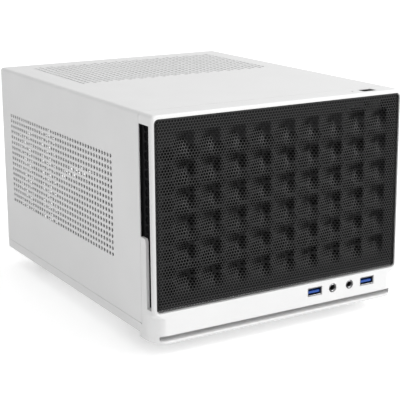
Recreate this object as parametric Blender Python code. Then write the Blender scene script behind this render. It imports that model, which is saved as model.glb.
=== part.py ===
"""Cube-format desktop computer: white sheet-steel case, quilted mesh front, and the computer inside it.

Metres. +X is to the right seen from the front, +Y points to the rear and +Z up. The origin is on the
ground under the middle. Depths are measured rearward from the front face, so y = y_at(depth).
"""
import math

import bmesh
import bpy
from mathutils import Matrix, Vector

# ---- driving dimensions -------------------------------------------------------------------------
WIDTH = 0.222
HEIGHT = 0.181
CASE_DEPTH = 0.285
SCREW_HEAD = 0.005          # how far the thumbscrews stand behind the case
SCREW_HOLE = 0.0019
GAP = 0.0003                # clearance between neighbouring pieces
SHEET = 0.0008              # folded steel
PLASTIC = 0.0024            # moulded walls

HALF = WIDTH / 2
FRONT = -(CASE_DEPTH + SCREW_HEAD) / 2

BEZEL_DEPTH = 0.0202
CHIN_DEPTH = 0.0239         # the bezel's lower block reaches further back, under the base
BEZEL_FOOT = 0.0113         # height of the bezel's lower edge
CHIN_TOP = 0.0360
BEND = 0.003                # outer radius of the case's long top edges
WINDOW_HALF = 0.10933
WINDOW_TOP = 0.1782
LEDGE = 0.0017              # depth of the rebate that the mesh sits in

DIMPLE_COLUMNS = 9
DIMPLE_ROWS = 6
DIMPLE_PITCH_X = 0.0217
DIMPLE_PITCH_Z = 0.0204
DIMPLE_SIZE = 0.0172
DIMPLE_FLOOR = 0.0036       # how far the floor's edge lies inside the dimple's mouth
DIMPLE_DEPTH = 0.005
MESH_CENTRE_Z = (CHIN_TOP + WINDOW_TOP) / 2

BASE_Z = 0.0154             # underside of the base pan
LIP_TOP = 0.0231            # top of the base pan's visible lip
FRAME_HALF = 0.1074         # half width of the front wall and the rear panel
FLANGE_TOP = 0.0400         # top of the base pan's inner flanges
WALL_DEPTH = 0.0250         # front face of the front wall
REAR_DEPTH = 0.2832         # front face of the rear panel
FRAME_TOP = 0.1799

BOARD_X = (-0.070, 0.100)   # mini board, 170 mm square
BOARD_DEPTH = (0.1118, 0.2818)
BOARD_Z = (0.0246, 0.0262)
APERTURE_X = (-0.056, 0.10275)
APERTURE_Z = (0.0225, 0.0670)
SLOT_CENTRES = (-0.0900, -0.0697)

PSU_X = (-0.051, 0.099)
PSU_DEPTH = (0.1429, 0.2829)
PSU_Z = (0.0890, 0.1750)
PSU_FAN_CENTRE = (0.024, 0.2070)

FAN_CENTRE_Z = 0.107        # 120 mm front fan
COOLER_CENTRE = (0.015, 0.200)

THUMBSCREWS = {"thumbscrew_right": (0.1000, 0.0790), "thumbscrew_left": (-0.1000, 0.1500),
               "thumbscrew_top": (-0.0760, 0.1715)}
FEET = {"foot_front_left": (-0.078, 0.052), "foot_front_right": (0.078, 0.052),
        "foot_rear_left": (-0.078, 0.250), "foot_rear_right": (0.078, 0.250)}
BUTTON_X = (0.0781, 0.0904)
BUTTON_DEPTH = (0.0056, 0.0142)
INDICATOR = (0.0707, 0.0111)
PORT_Z = 0.02845
USB_CENTRES = {"usb_port_left": 0.03035, "usb_port_right": 0.0814}
JACK_CENTRES = {"audio_jack_left": 0.0475, "audio_jack_right": 0.0640}
USB_HALF = (0.00665, 0.00325)
JACK_RADIUS = 0.0034
LENS_RADIUS = 0.0009
BUTTON_CEILING = 0.1778     # underside of the bezel's top wall

INLET_X = -0.0275           # power inlet and its rocker switch, in the supply's rear face
SWITCH_X = -0.0020
INLET_Z = 0.1065
SUPPLY_REAR = PSU_DEPTH[1] + 0.0010

BOARD_TOP = BOARD_Z[1] + GAP
STACK_DEPTH = (0.2620, REAR_DEPTH + 0.0014)
STACKS = {"audio_stack": ((-0.0500, -0.0370), 0.0600), "network_stack": ((-0.0300, -0.0135), 0.0550),
          "usb_stack": ((-0.0050, 0.0082), 0.0560), "display_stack": ((0.0200, 0.0370), 0.0500)}
NETWORK_Z = 0.0480
USB_PITCH = 0.0069
AUDIO_PITCH = 0.0107
MEMORY_DEPTHS = (0.1215, 0.1315)
SOCKET_HEIGHT = 0.0037
CHIP_HEIGHT = 0.0028

ROUND = 32                  # facets of a large round piece
SMALL_ROUND = 16
BEYOND = 0.04               # depth past the whole front panel, for cutters that run out behind it

# ---- materials: colour, roughness, metallic ------------------------------------------------------
FINISHES = {
    "white_plastic": ((0.80, 0.80, 0.79), 0.42, 0.0),
    "white_steel": ((0.78, 0.78, 0.78), 0.45, 0.0),
    "black_steel": ((0.02, 0.02, 0.022), 0.4, 0.3),
    "black_plastic": ((0.02, 0.02, 0.02), 0.5, 0.0),
    "bright_metal": ((0.72, 0.72, 0.74), 0.28, 1.0),
    "rubber": ((0.03, 0.03, 0.03), 0.8, 0.0),
    "board_green": ((0.01, 0.05, 0.03), 0.45, 0.0),
    "aluminium": ((0.75, 0.76, 0.78), 0.35, 1.0),
    "brass": ((0.75, 0.55, 0.22), 0.35, 1.0),
    "lens": ((0.75, 0.80, 0.85), 0.1, 0.0),
    "cable_sleeve": ((0.02, 0.02, 0.02), 0.7, 0.0),
}


def y_at(depth):
    """World y of a depth measured rearward from the front face."""
    return FRONT + depth


def finish(name):
    found = bpy.data.materials.get(name)
    if found:
        return found
    colour, roughness, metallic = FINISHES[name]
    made = bpy.data.materials.new(name)
    made.use_nodes = True
    shader = made.node_tree.nodes["Principled BSDF"]
    shader.inputs["Base Color"].default_value = (*colour, 1)
    shader.inputs["Roughness"].default_value = roughness
    shader.inputs["Metallic"].default_value = metallic
    return made


# ---- building helpers ----------------------------------------------------------------------------
def add_object(name, mesh, material=None, origin=(0, 0, 0), smooth=False):
    """Puts a bmesh in the scene as an object whose origin is at the given point."""
    bmesh.ops.recalc_face_normals(mesh, faces=mesh.faces)
    data = bpy.data.meshes.new(name)
    mesh.to_mesh(data)
    mesh.free()
    data.transform(Matrix.Translation(-Vector(origin)))
    made = bpy.data.objects.new(name, data)
    made.location = origin
    bpy.context.collection.objects.link(made)
    if material:
        data.materials.append(finish(material))
    if smooth:
        data.shade_smooth()
        data.set_sharp_from_angle(angle=math.radians(35))
    return made


def add_box(mesh, x, depth, z):
    """Adds a closed box; x, depth and z are (low, high) pairs."""
    size = Vector((x[1] - x[0], depth[1] - depth[0], z[1] - z[0]))
    centre = Vector((sum(x) / 2, y_at(sum(depth) / 2), sum(z) / 2))
    bmesh.ops.create_cube(mesh, size=1, matrix=Matrix.Translation(centre) @ Matrix.Diagonal((*size, 1)))


def boxes(name, spans, material=None):
    mesh = bmesh.new()
    for span in spans:
        add_box(mesh, *span)
    return add_object(name, mesh, material)


def extrude(mesh, points, place, start, end):
    """Closed prism: place((a, b), height) turns a profile point and a height into a world point."""
    low = [mesh.verts.new(place(point, start)) for point in points]
    high = [mesh.verts.new(place(point, end)) for point in points]
    mesh.faces.new(low)
    mesh.faces.new(high)
    for i in range(len(points)):
        j = (i + 1) % len(points)
        mesh.faces.new((low[i], low[j], high[j], high[i]))


def along_depth(point, depth):
    """A profile drawn in X and Z, extruded from front to rear."""
    return (point[0], y_at(depth), point[1])


def along_x(point, x):
    """A profile drawn in depth and Z, extruded across."""
    return (x, y_at(point[0]), point[1])


def along_z(point, z):
    """A profile drawn in X and depth, extruded upward."""
    return (point[0], y_at(point[1]), z)


def prism(name, points, place, start, end, material=None):
    mesh = bmesh.new()
    extrude(mesh, points, place, start, end)
    return add_object(name, mesh, material)


def circle(centre, radius, count=ROUND):
    angles = [2 * math.pi * i / count for i in range(count)]
    return [(centre[0] + radius * math.cos(angle), centre[1] + radius * math.sin(angle)) for angle in angles]


def crossed_bar(centre, half_length, half_width, index):
    """Outline of one of two diagonal bars that cross at a centre."""
    cosine = math.cos(math.pi * (0.25 + index / 2))
    sine = math.sin(math.pi * (0.25 + index / 2))
    corners = rectangle((-half_length, half_length), (-half_width, half_width))
    return [(centre[0] + a * cosine - b * sine, centre[1] + a * sine + b * cosine) for a, b in corners]


def turned(name, profile, centre, axis, material, count=ROUND):
    """Solid of revolution: profile is (radius, height) pairs, with both ends on the axis left out."""
    mesh = bmesh.new()
    rings = []
    for radius, height in profile:
        ring = []
        for a, b in circle((0, 0), radius, count):
            ring.append(mesh.verts.new({"z": (a, b, height), "y": (a, height, b)}[axis]))
        rings.append(ring)
    for low, high in zip(rings, rings[1:]):
        for i in range(count):
            j = (i + 1) % count
            mesh.faces.new((low[i], low[j], high[j], high[i]))
    mesh.faces.new(rings[0])
    mesh.faces.new(rings[-1])
    bmesh.ops.translate(mesh, vec=centre, verts=mesh.verts)
    return add_object(name, mesh, material, origin=centre, smooth=True)


def combine(target, tool, operation):
    """Adds a Boolean modifier, and marks the tool as a guide that is not part of the object."""
    step = target.modifiers.new(tool.name, "BOOLEAN")
    step.operation = operation
    step.solver = "EXACT"
    step.object = tool
    tool.hide_render = True
    tool.display_type = "WIRE"
    return target


def cut(target, tool):
    return combine(target, tool, "DIFFERENCE")


def join(target, tool):
    return combine(target, tool, "UNION")


def around(centre, half):
    """Low and high limits about a centre."""
    return (centre - half, centre + half)


def grown(span, margin):
    """A (low, high) pair widened by a margin at both ends."""
    return (span[0] - margin, span[1] + margin)


def rectangle(x, z):
    return [(x[0], z[0]), (x[1], z[0]), (x[1], z[1]), (x[0], z[1])]


# ---- front panel ---------------------------------------------------------------------------------
def plan_outline(half, front, corner_x, corner_depth, rear, steps=6):
    """Plan of a block whose two front corners are quarter ellipses."""
    right = []
    for i in range(steps + 1):
        angle = math.pi / 2 * i / steps
        right.append((half - corner_x * (1 - math.sin(angle)), front + corner_depth * (1 - math.cos(angle))))
    return right + [(half, rear), (-half, rear)] + [(-x, depth) for x, depth in reversed(right)]


def loft(name, levels, material=None):
    """Skins a stack of plan outlines, each given as (z, outline)."""
    mesh = bmesh.new()
    rings = [[mesh.verts.new(along_z(point, z)) for point in outline] for z, outline in levels]
    for low, high in zip(rings, rings[1:]):
        for i in range(len(low)):
            j = (i + 1) % len(low)
            mesh.faces.new((low[i], low[j], high[j], high[i]))
    mesh.faces.new(rings[0])
    mesh.faces.new(rings[-1])
    return add_object(name, mesh, material)


def front_bezel():
    """Moulded frame: mesh window, side air slots, and a chin with the ports and a deep finger groove."""
    chin_corner, frame_corner, edge = (0.010, 0.017), (0.002, 0.002), 0.0012
    levels = []
    for z, inset in ((BEZEL_FOOT, edge), (BEZEL_FOOT + edge, 0), (CHIN_TOP - 0.006, 0)):
        levels.append((z, plan_outline(HALF - inset, inset, *chin_corner, CHIN_DEPTH)))
    levels.append((CHIN_TOP - 0.0005, plan_outline(HALF, 0, *frame_corner, CHIN_DEPTH)))
    bend_steps = 4
    for step in range(bend_steps + 1):
        angle = math.pi / 2 * step / bend_steps
        inset = 1 - math.cos(angle)
        z = HEIGHT - BEND * (1 - math.sin(angle))
        levels.append((z, plan_outline(HALF - BEND * inset, edge * inset, *frame_corner, CHIN_DEPTH)))
    bezel = loft("front_bezel", levels, "white_plastic")

    inner = HALF - PLASTIC
    cut(bezel, boxes("above_base_trim", [((-0.13, 0.13), (BEZEL_DEPTH, BEYOND), (LIP_TOP - GAP, 0.2))]))
    cut(bezel, boxes("window_cut", [((-WINDOW_HALF, WINDOW_HALF), (-0.01, LEDGE), (CHIN_TOP, WINDOW_TOP))]))
    cut(bezel, boxes("hollow_cut", [((-inner, inner), (0.001, BEYOND), (CHIN_TOP + 0.0015, BUTTON_CEILING))]))
    chin = [(z, plan_outline(inner, 0.0025, 0.0076, 0.0145, BEYOND)) for z in (0.0204, CHIN_TOP)]
    cut(bezel, loft("chin_hollow_cut", chin))
    groove_z, groove_depth = (0.0140, 0.0180), 0.0080
    groove_back = ((-inner, inner), (groove_depth + PLASTIC, BEYOND), (0.0137, 0.0210))
    cut(bezel, boxes("groove_back_cut", [groove_back]))
    cut(bezel, boxes("groove_cut", [((-0.1062, 0.1062), (-0.01, groove_depth), groove_z)]))
    slot_front, slot_foot, slot_step, slot_top = 0.0051, 0.0369, 0.0896, 0.1729
    slot = [(slot_front, slot_foot), (0.0122, slot_foot), (0.0122, slot_step - 0.0012), (0.0127, slot_step),
            (BEYOND, slot_step), (BEYOND, slot_top), (slot_front, slot_top)]
    for name, start in (("left_slot_cut", -HALF - 0.01), ("right_slot_cut", HALF - 0.0040)):
        cut(bezel, prism(name, slot, along_x, start, start + 0.014))

    through, upward = (-0.01, 0.006), (0.17, 0.19)
    windows = [(around(x, USB_HALF[0] + GAP), through, around(PORT_Z, USB_HALF[1] + GAP))
               for x in USB_CENTRES.values()]
    windows.append((grown(BUTTON_X, GAP), grown(BUTTON_DEPTH, GAP), upward))
    cut(bezel, boxes("port_and_button_windows", windows))
    for name, x in JACK_CENTRES.items():
        window = circle((x, PORT_Z), JACK_RADIUS + GAP, SMALL_ROUND)
        cut(bezel, prism(name + "_window", window, along_depth, *through))
    cut(bezel, prism("indicator_window", circle(INDICATOR, LENS_RADIUS + GAP, SMALL_ROUND), along_z, *upward))
    return bezel


def front_mesh():
    """Pressed steel mesh with a grid of recessed square dimples, as one folded sheet."""
    edge = 0.00035
    top = 0.0006
    columns = [-WINDOW_HALF + edge]
    for column in range(DIMPLE_COLUMNS):
        centre = (column - (DIMPLE_COLUMNS - 1) / 2) * DIMPLE_PITCH_X
        columns += around(centre, DIMPLE_SIZE / 2)
    columns.append(WINDOW_HALF - edge)
    rows = [CHIN_TOP + edge]
    for row in range(DIMPLE_ROWS):
        centre = MESH_CENTRE_Z + (row - (DIMPLE_ROWS - 1) / 2) * DIMPLE_PITCH_Z
        rows += around(centre, DIMPLE_SIZE / 2)
    rows.append(WINDOW_TOP - edge)

    mesh = bmesh.new()
    grid = [[mesh.verts.new((x, y_at(top), z)) for x in columns] for z in rows]
    mouths = []
    for j in range(len(rows) - 1):
        for i in range(len(columns) - 1):
            face = mesh.faces.new((grid[j][i], grid[j][i + 1], grid[j + 1][i + 1], grid[j + 1][i]))
            if i % 2 and j % 2:
                mouths.append(face)
    bmesh.ops.inset_individual(mesh, faces=mouths, thickness=DIMPLE_FLOOR)
    for face in mouths:
        bmesh.ops.translate(mesh, vec=(0, DIMPLE_DEPTH, 0), verts=face.verts)
    panel = add_object("front_mesh", mesh, "black_steel")
    thick = panel.modifiers.new("sheet", "SOLIDIFY")
    thick.thickness = SHEET
    thick.offset = -1 if panel.data.polygons[0].normal.y < 0 else 1
    return panel


def mesh_frame():
    """Black honeycomb frame behind the mesh; its side walls close the air slots."""
    half, wall, bar = 0.1083, 0.0020, 0.0040
    foot, head = CHIN_TOP + 0.0018, 0.1775
    body = ((-half, half), (LEDGE + GAP, BEZEL_DEPTH - GAP), (foot, head))
    frame = boxes("mesh_frame", [body], "black_plastic")
    inside = (-half + wall, half - wall)
    cut(frame, boxes("mesh_frame_opening", [(inside, (-0.01, 0.04), (foot + bar, head - bar))]))
    cut(frame, boxes("mesh_frame_back", [(inside, (0.0042, 0.04), (foot - 0.01, head + 0.01))]))
    return frame


def power_button():
    """Flush black cap with a retaining flange and a stem that works the switch below."""
    x, depth = BUTTON_X, BUTTON_DEPTH
    lip, flange_top = 0.0006, BUTTON_CEILING - 0.0010
    cap = boxes("power_button", [(x, depth, (flange_top - 0.0013, HEIGHT - GAP))], "black_plastic")
    flange = (grown(x, lip), grown(depth, lip), (flange_top - 0.0023, flange_top))
    join(cap, boxes("button_flange", [flange]))
    stem = (around(sum(x) / 2, 0.0015), around(sum(depth) / 2, 0.0015), (0.1685, flange_top - 0.0018))
    join(cap, boxes("button_stem", [stem]))
    return cap


def front_ports():
    """The power switch, indicator, ports and the small board that carries the ports."""
    switch = (around(sum(BUTTON_X) / 2, 0.00425), (0.0075, WALL_DEPTH - GAP), (0.1625, 0.1670))
    boxes("power_switch", [switch], "black_plastic")
    lens_foot, lens_head = 0.1723, HEIGHT - 0.0002
    shoulder = BUTTON_CEILING - 0.0010 - lens_foot
    turned("indicator_lens", [(0.0020, 0), (0.0020, shoulder), (LENS_RADIUS, shoulder),
                              (LENS_RADIUS, lens_head - lens_foot)],
           (INDICATOR[0], y_at(INDICATOR[1]), lens_foot), "z", "lens", SMALL_ROUND)

    face, rear, shell_wall = 0.0004, 0.0174, 0.0005
    for name, x in USB_CENTRES.items():
        outer_x, outer_z = around(x, USB_HALF[0]), around(PORT_Z, USB_HALF[1])
        shell = boxes(name, [(outer_x, (face, rear), outer_z)], "bright_metal")
        mouth = (grown(outer_x, -shell_wall), (-0.01, rear - 0.0012), grown(outer_z, -shell_wall))
        cut(shell, boxes(name + "_mouth", [mouth]))
        tongue = (around(x, 0.0055), (face + 0.0016, rear - 0.0006), around(PORT_Z + 0.0009, 0.0010))
        join(shell, boxes(name + "_tongue", [tongue]))
    bore = 0.0018
    for name, x in JACK_CENTRES.items():
        profile = [(bore, 0.0120), (bore, 0), (JACK_RADIUS, 0), (JACK_RADIUS, 0.0150)]
        turned(name, profile, (x, y_at(0.0002), PORT_Z), "y", "bright_metal", SMALL_ROUND)
    board_top = PORT_Z - JACK_RADIUS - GAP
    boxes("front_io_board", [((0.018, 0.094), (0.0032, WALL_DEPTH - GAP), (board_top - 0.0016, board_top))],
          "board_green")


# ---- chassis -------------------------------------------------------------------------------------
def base_pan():
    """Folded base: visible lips flush with the cover, and inner flanges that the cover slides over."""
    step = 0.0024
    inner = HALF - step - SHEET
    half = [(HALF, BASE_Z), (HALF, LIP_TOP), (HALF - step, LIP_TOP), (HALF - step, FLANGE_TOP),
            (inner, FLANGE_TOP), (inner, LIP_TOP - SHEET), (HALF - SHEET, LIP_TOP - SHEET),
            (HALF - SHEET, BASE_Z + SHEET)]
    outline = half + [(-x, z) for x, z in reversed(half)]
    pan = prism("base_pan", outline, along_depth, CHIN_DEPTH + GAP, CASE_DEPTH, "white_steel")
    behind = (REAR_DEPTH + SHEET, CASE_DEPTH + 0.01)
    return cut(pan, boxes("pan_flange_trim", [((-0.12, 0.12), behind, (LIP_TOP, 0.05))]))


def channel_wall(name, face, flange, openings, material):
    """Upright sheet at a depth; its top and side flanges reach rearward (+) or forward (-) by flange."""
    ends = sorted((face if flange > 0 else face + SHEET, face + flange))
    beside = (face + SHEET, BEYOND) if flange > 0 else (face - BEYOND, face)
    wall = boxes(name, [((-FRAME_HALF, FRAME_HALF), ends, (BASE_Z + SHEET + GAP, FRAME_TOP))], material)
    inner = (-FRAME_HALF + SHEET, FRAME_HALF - SHEET)
    cut(wall, boxes(name + "_hollow", [(inner, beside, (0, FRAME_TOP - SHEET))]))
    cut(wall, boxes(name + "_flange_trim", [((-0.12, 0.12), beside, (0, FLANGE_TOP + 0.002))]))
    for index, points in enumerate(openings):
        cut(wall, prism(f"{name}_opening_{index}", points, along_depth, face - 0.005, face + 0.005))
    return wall


def front_wall():
    fan_hole = circle((0, FAN_CENTRE_Z), 0.0570)
    cable_hole = rectangle((0.044, 0.066), (0.0262, 0.0390))
    return channel_wall("front_wall", WALL_DEPTH, 0.0128, [fan_hole, cable_hole], "black_steel")


def rear_panel():
    supply_x, supply_z = (PSU_X[0] + 0.005, PSU_X[1] - 0.005), (PSU_Z[0] + 0.004, PSU_Z[1] - 0.004)
    openings = [rectangle(APERTURE_X, APERTURE_Z), rectangle(supply_x, supply_z)]
    openings += [rectangle(around(x, 0.0072), (0.027, 0.125)) for x in SLOT_CENTRES]
    openings += [circle(centre, SCREW_HOLE, SMALL_ROUND) for centre in THUMBSCREWS.values()]
    return channel_wall("rear_panel", REAR_DEPTH, -0.012, openings, "white_steel")


def top_rails():
    """Angle rails that tie the front wall to the rear panel under the cover."""
    outer, inner = FRAME_HALF - SHEET - GAP, 0.097
    top = FRAME_TOP - SHEET - GAP
    for name, side in (("top_rail_right", 1), ("top_rail_left", -1)):
        points = [(inner, top - SHEET), (outer - SHEET, top - SHEET), (outer - SHEET, top - 0.010),
                  (outer, top - 0.010), (outer, top), (inner, top)]
        prism(name, [(side * x, z) for x, z in points], along_depth,
              WALL_DEPTH + SHEET + GAP, REAR_DEPTH - GAP, "white_steel")


def cover_profile(offset, foot, steps=5):
    """Section of the cover, offset inward, from the left foot over the top to the right foot."""
    radius = BEND - offset
    centre_x, centre_z = HALF - BEND, HEIGHT - BEND
    right = []
    for i in range(steps + 1):
        angle = math.pi / 2 * i / steps
        right.append((centre_x + radius * math.cos(angle), centre_z + radius * math.sin(angle)))
    right = [(HALF - offset, foot)] + right
    return [(-x, z) for x, z in right] + list(reversed(right))


def top_cover():
    """One folded sheet: both sides, the top, and a rear return that laps the rear panel."""
    foot = LIP_TOP + GAP
    outline = cover_profile(0, foot) + list(reversed(cover_profile(SHEET, foot)))
    cover = prism("top_cover", outline, along_depth, BEZEL_DEPTH + GAP, CASE_DEPTH, "white_steel")
    low, high = CASE_DEPTH - SHEET + 0.0001, CASE_DEPTH
    reach, corner, tab = 0.0078, 0.002, 0.0065
    outer_half, outer_top = HALF - SHEET / 2, HEIGHT - SHEET / 2
    inner_half, inner_top = HALF - reach, HEIGHT - reach
    band = [(outer_half, foot), (outer_half, outer_top - corner), (outer_half - corner, outer_top)]
    band += [(-x, z) for x, z in reversed(band)]
    band += [(-inner_half, foot), (-inner_half, inner_top), (inner_half, inner_top), (inner_half, foot)]
    join(cover, prism("cover_rear_return", band, along_depth, low, high))
    for name, (x, z) in THUMBSCREWS.items():
        side = (min(abs(x), inner_half) - tab) * math.copysign(1, x), math.copysign(inner_half + 0.0018, x)
        if name == "thumbscrew_top":
            spans = (around(x, tab), (low, high), (z - tab, inner_top + 0.0018))
        else:
            spans = (sorted(side), (low, high), around(z, tab))
        join(cover, boxes(name + "_tab", [spans]))
        hole = circle((x, z), SCREW_HOLE, SMALL_ROUND)
        cut(cover, prism(name + "_hole", hole, along_depth, low - 0.01, high + 0.01))
    return cover


def thumbscrews():
    head, shaft = 0.0040, 0.0015
    for name, (x, z) in THUMBSCREWS.items():
        profile = [(shaft, 0), (shaft, 0.0093), (head - 0.0004, 0.0093), (head, 0.0097), (head, 0.0136),
                   (head - 0.0004, 0.0140)]
        turned(name, profile, (x, y_at(CASE_DEPTH + SCREW_HEAD - 0.0140), z), "y", "bright_metal", 20)


def feet():
    height = BASE_Z - GAP
    for name, (x, depth) in FEET.items():
        profile = [(0.0100, 0), (0.0108, 0.0010), (0.0120, height - 0.001), (0.0116, height)]
        turned(name, profile, (x, y_at(depth), 0), "z", "rubber", 24)


def slot_covers():
    """Vented blanking plates behind the two expansion openings, each with its folded tab."""
    rear = REAR_DEPTH - GAP
    for index, x in enumerate(SLOT_CENTRES):
        profile = [(rear - SHEET, 0.0205), (rear, 0.0205), (rear, 0.1285), (rear - 0.0105, 0.1285),
                   (rear - 0.0105, 0.1277), (rear - SHEET, 0.1277)]
        prism(f"slot_cover_{index + 1}", profile, along_x, x - 0.0092, x + 0.0092, "bright_metal")


def drive_bracket():
    """Tray hung under the top rails, with the solid-state drive on it."""
    half, ear, floor, top = 0.098, 0.1052, 0.1480, FRAME_TOP - 2 * SHEET - 2 * GAP
    outline = [(half, floor), (half, top - SHEET), (ear, top - SHEET), (ear, top), (half - SHEET, top),
               (half - SHEET, floor + SHEET)]
    outline += [(-x, z) for x, z in reversed(outline)]
    prism("drive_bracket", outline, along_depth, 0.0540, 0.1340, "white_steel")
    foot = floor + SHEET + GAP
    boxes("solid_state_drive", [(around(0, 0.050), (0.0590, 0.12885), (foot, foot + 0.007))], "aluminium")


# ---- fans ----------------------------------------------------------------------------------------
def fan(prefix, axis_map, size, thickness, blades, hub):
    """Square fan: a frame with hub struts, and a rotor whose origin is on its axis.

    axis_map(u, v, w) turns fan coordinates into world ones; w runs from the air's inlet side, 0, to
    the strut side, thickness.
    """
    def place(point, height):
        return axis_map(point[0], point[1], height)

    def solid(name, points, low, high, material=None, origin=(0, 0, 0)):
        mesh = bmesh.new()
        extrude(mesh, points, place, low, high)
        return add_object(name, mesh, material, origin)

    half = size / 2
    strut, overlap = 0.0022, 0.0001
    strut_low = thickness - strut
    frame = solid(prefix + "_frame", rectangle((-half, half), (-half, half)), 0, thickness, "black_plastic")
    cut(frame, solid(prefix + "_duct", circle((0, 0), half - 0.0025), -0.01, thickness + 0.01))
    join(frame, solid(prefix + "_motor_plate", circle((0, 0), hub, 20), strut_low, thickness - overlap / 2))
    for index in range(2):
        bar = crossed_bar((0, 0), half - 0.001, 0.0022, index)
        inset = overlap * (index + 1)
        join(frame, solid(f"{prefix}_strut_{index}", bar, strut_low + inset, thickness - inset))

    rotor_low, rotor_high = 0.0010, strut_low - 0.0008
    rotor = solid(prefix + "_rotor", circle((0, 0), hub, 28), rotor_low, rotor_high, "black_plastic",
                  axis_map(0, 0, 0))
    tip, blade_half = half - 0.0035, 0.0008
    ends = ((rotor_low + 0.0020, -0.8), (rotor_high - 0.0010, 0.8))
    stations = [(hub - 0.0015, 0.50), ((hub + tip) / 2, 0.36), (tip, 0.26)]
    mesh = bmesh.new()
    for index in range(blades):
        start = 2 * math.pi * index / blades
        rings = []
        for radius, sweep in stations:
            ring = []
            for (height, lean), sides in zip(ends, ((-blade_half, blade_half), (blade_half, -blade_half))):
                for offset in sides:
                    angle = start + lean * sweep + offset / radius
                    point = (radius * math.cos(angle), radius * math.sin(angle))
                    ring.append(mesh.verts.new(place(point, height)))
            rings.append(ring)
        for inner, outer in zip(rings, rings[1:]):
            for i in range(4):
                j = (i + 1) % 4
                mesh.faces.new((inner[i], inner[j], outer[j], outer[i]))
        mesh.faces.new(rings[0])
        mesh.faces.new(rings[-1])
    join(rotor, add_object(prefix + "_blades", mesh))


def front_fan():
    face = WALL_DEPTH + SHEET + GAP
    fan("front_fan", lambda u, v, w: (u, y_at(face + w), FAN_CENTRE_Z + v), 0.120, 0.025, 9, 0.021)


# ---- power supply --------------------------------------------------------------------------------
def power_supply():
    """Standard power supply: steel box, upward-facing fan under a wire guard, inlet and rocker switch."""
    x, depth, z = PSU_X, PSU_DEPTH, PSU_Z
    housing = boxes("psu_housing", [(x, depth, z)], "bright_metal")
    hollow = [(span[0] + SHEET, span[1] - SHEET) for span in (x, depth, z)]
    cut(housing, boxes("psu_hollow", [hollow]))
    cut(housing, prism("psu_fan_hole", circle(PSU_FAN_CENTRE, 0.0560), along_z, z[1] - 0.005, z[1] + 0.005))
    front_face, rear_face = around(depth[0], 0.005), around(depth[1], 0.005)
    cut(housing, boxes("psu_wall_cuts", [(around(INLET_X, 0.0136), rear_face, around(INLET_Z, 0.0100)),
                                         (around(SWITCH_X, 0.0066), rear_face, around(INLET_Z, 0.0096)),
                                         ((0.020, 0.078), front_face, (0.100, 0.122))]))

    fan_top = z[1] - SHEET - GAP
    fan("psu_fan", lambda u, v, w: (PSU_FAN_CENTRE[0] + u, y_at(PSU_FAN_CENTRE[1]) + v, fan_top - w),
        0.120, 0.025, 7, 0.020)
    fan_guard(z[1] + GAP, z[1] + 0.0018)
    inlet_and_switch()


def fan_guard(low, high):
    """Ring guard over the supply's fan, held together by two crossed bars."""
    guard = prism("psu_fan_guard", circle(PSU_FAN_CENTRE, 0.0575), along_z, low, high, "bright_metal")
    for index in range(3):
        outer = 0.0560 - index * 0.0130
        gap = prism(f"guard_gap_{index}", circle(PSU_FAN_CENTRE, outer), along_z, low - 0.005, high + 0.005)
        middle = circle(PSU_FAN_CENTRE, outer - 0.0115)
        cut(guard, cut(gap, prism(f"guard_core_{index}", middle, along_z, low - 0.01, high + 0.01)))
    for index in range(2):
        bar = crossed_bar(PSU_FAN_CENTRE, 0.057, 0.001, index)
        inset = 0.0001 * (index + 1)
        join(guard, prism(f"guard_bar_{index}", bar, along_z, low + inset, high - inset))


def inlet_and_switch():
    rear = SUPPLY_REAR
    body = (around(INLET_X, 0.0133), (rear - 0.022, rear), around(INLET_Z, 0.0097))
    inlet = boxes("psu_inlet", [body], "black_plastic")
    mouth = [(0.0120, -0.0083), (0.0120, 0.0035), (0.0075, 0.0083)]
    mouth += [(-a, b) for a, b in reversed(mouth)]
    cut(inlet, prism("inlet_mouth", [(INLET_X + a, INLET_Z + b) for a, b in mouth], along_depth,
                     rear - 0.0165, rear + 0.01))

    half, tall, tilt, inside = 0.0050, 0.0088, 0.0016, 0.0110
    rocker = [(rear - inside, -tall + 0.003), (rear - inside, tall - 0.003), (rear - 0.0010 - tilt, tall),
              (rear - 0.0004, 0), (rear - 0.0022 + tilt, -tall)]
    mesh = bmesh.new()
    extrude(mesh, [(a, INLET_Z + b) for a, b in rocker], along_x, SWITCH_X - half, SWITCH_X + half)
    add_object("psu_switch", mesh, "black_plastic", origin=(SWITCH_X, y_at(rear - 0.0060), INLET_Z))


# ---- mainboard -----------------------------------------------------------------------------------
def mainboard():
    """Board on four standoffs, with what is soldered or plugged into it."""
    boxes("motherboard", [(BOARD_X, BOARD_DEPTH, BOARD_Z)], "board_green")
    hole_x = (BOARD_X[0] + 0.00635, BOARD_X[0] + 0.00635 + 0.15748)
    hole_depth = (BOARD_DEPTH[1] - 0.01016 - 0.15494, BOARD_DEPTH[1] - 0.01016)
    floor = BASE_Z + SHEET + GAP
    for index in range(4):
        x, depth = hole_x[index // 2], hole_depth[index % 2]
        turned(f"standoff_{index + 1}", [(0.0030, 0), (0.0030, BOARD_Z[0] - GAP - floor)],
               (x, y_at(depth), floor), "z", "brass", 6)

    slots = {"expansion_slot": ((-0.0668, -0.0594), (0.1660, 0.2555), (BOARD_TOP, BOARD_TOP + 0.0112)),
             "power_connector": ((0.0880, 0.0980), (0.1500, 0.2020), (BOARD_TOP, BOARD_TOP + 0.0110))}
    made = {name: boxes(name, [spans], "black_plastic") for name, spans in slots.items()}
    groove = ((-0.0641, -0.0621), (0.1680, 0.2535), (BOARD_TOP + 0.0030, 0.05))
    cut(made["expansion_slot"], boxes("expansion_slot_groove", [groove]))
    rear_connectors()
    memory()
    processor_and_cooler()


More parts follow.
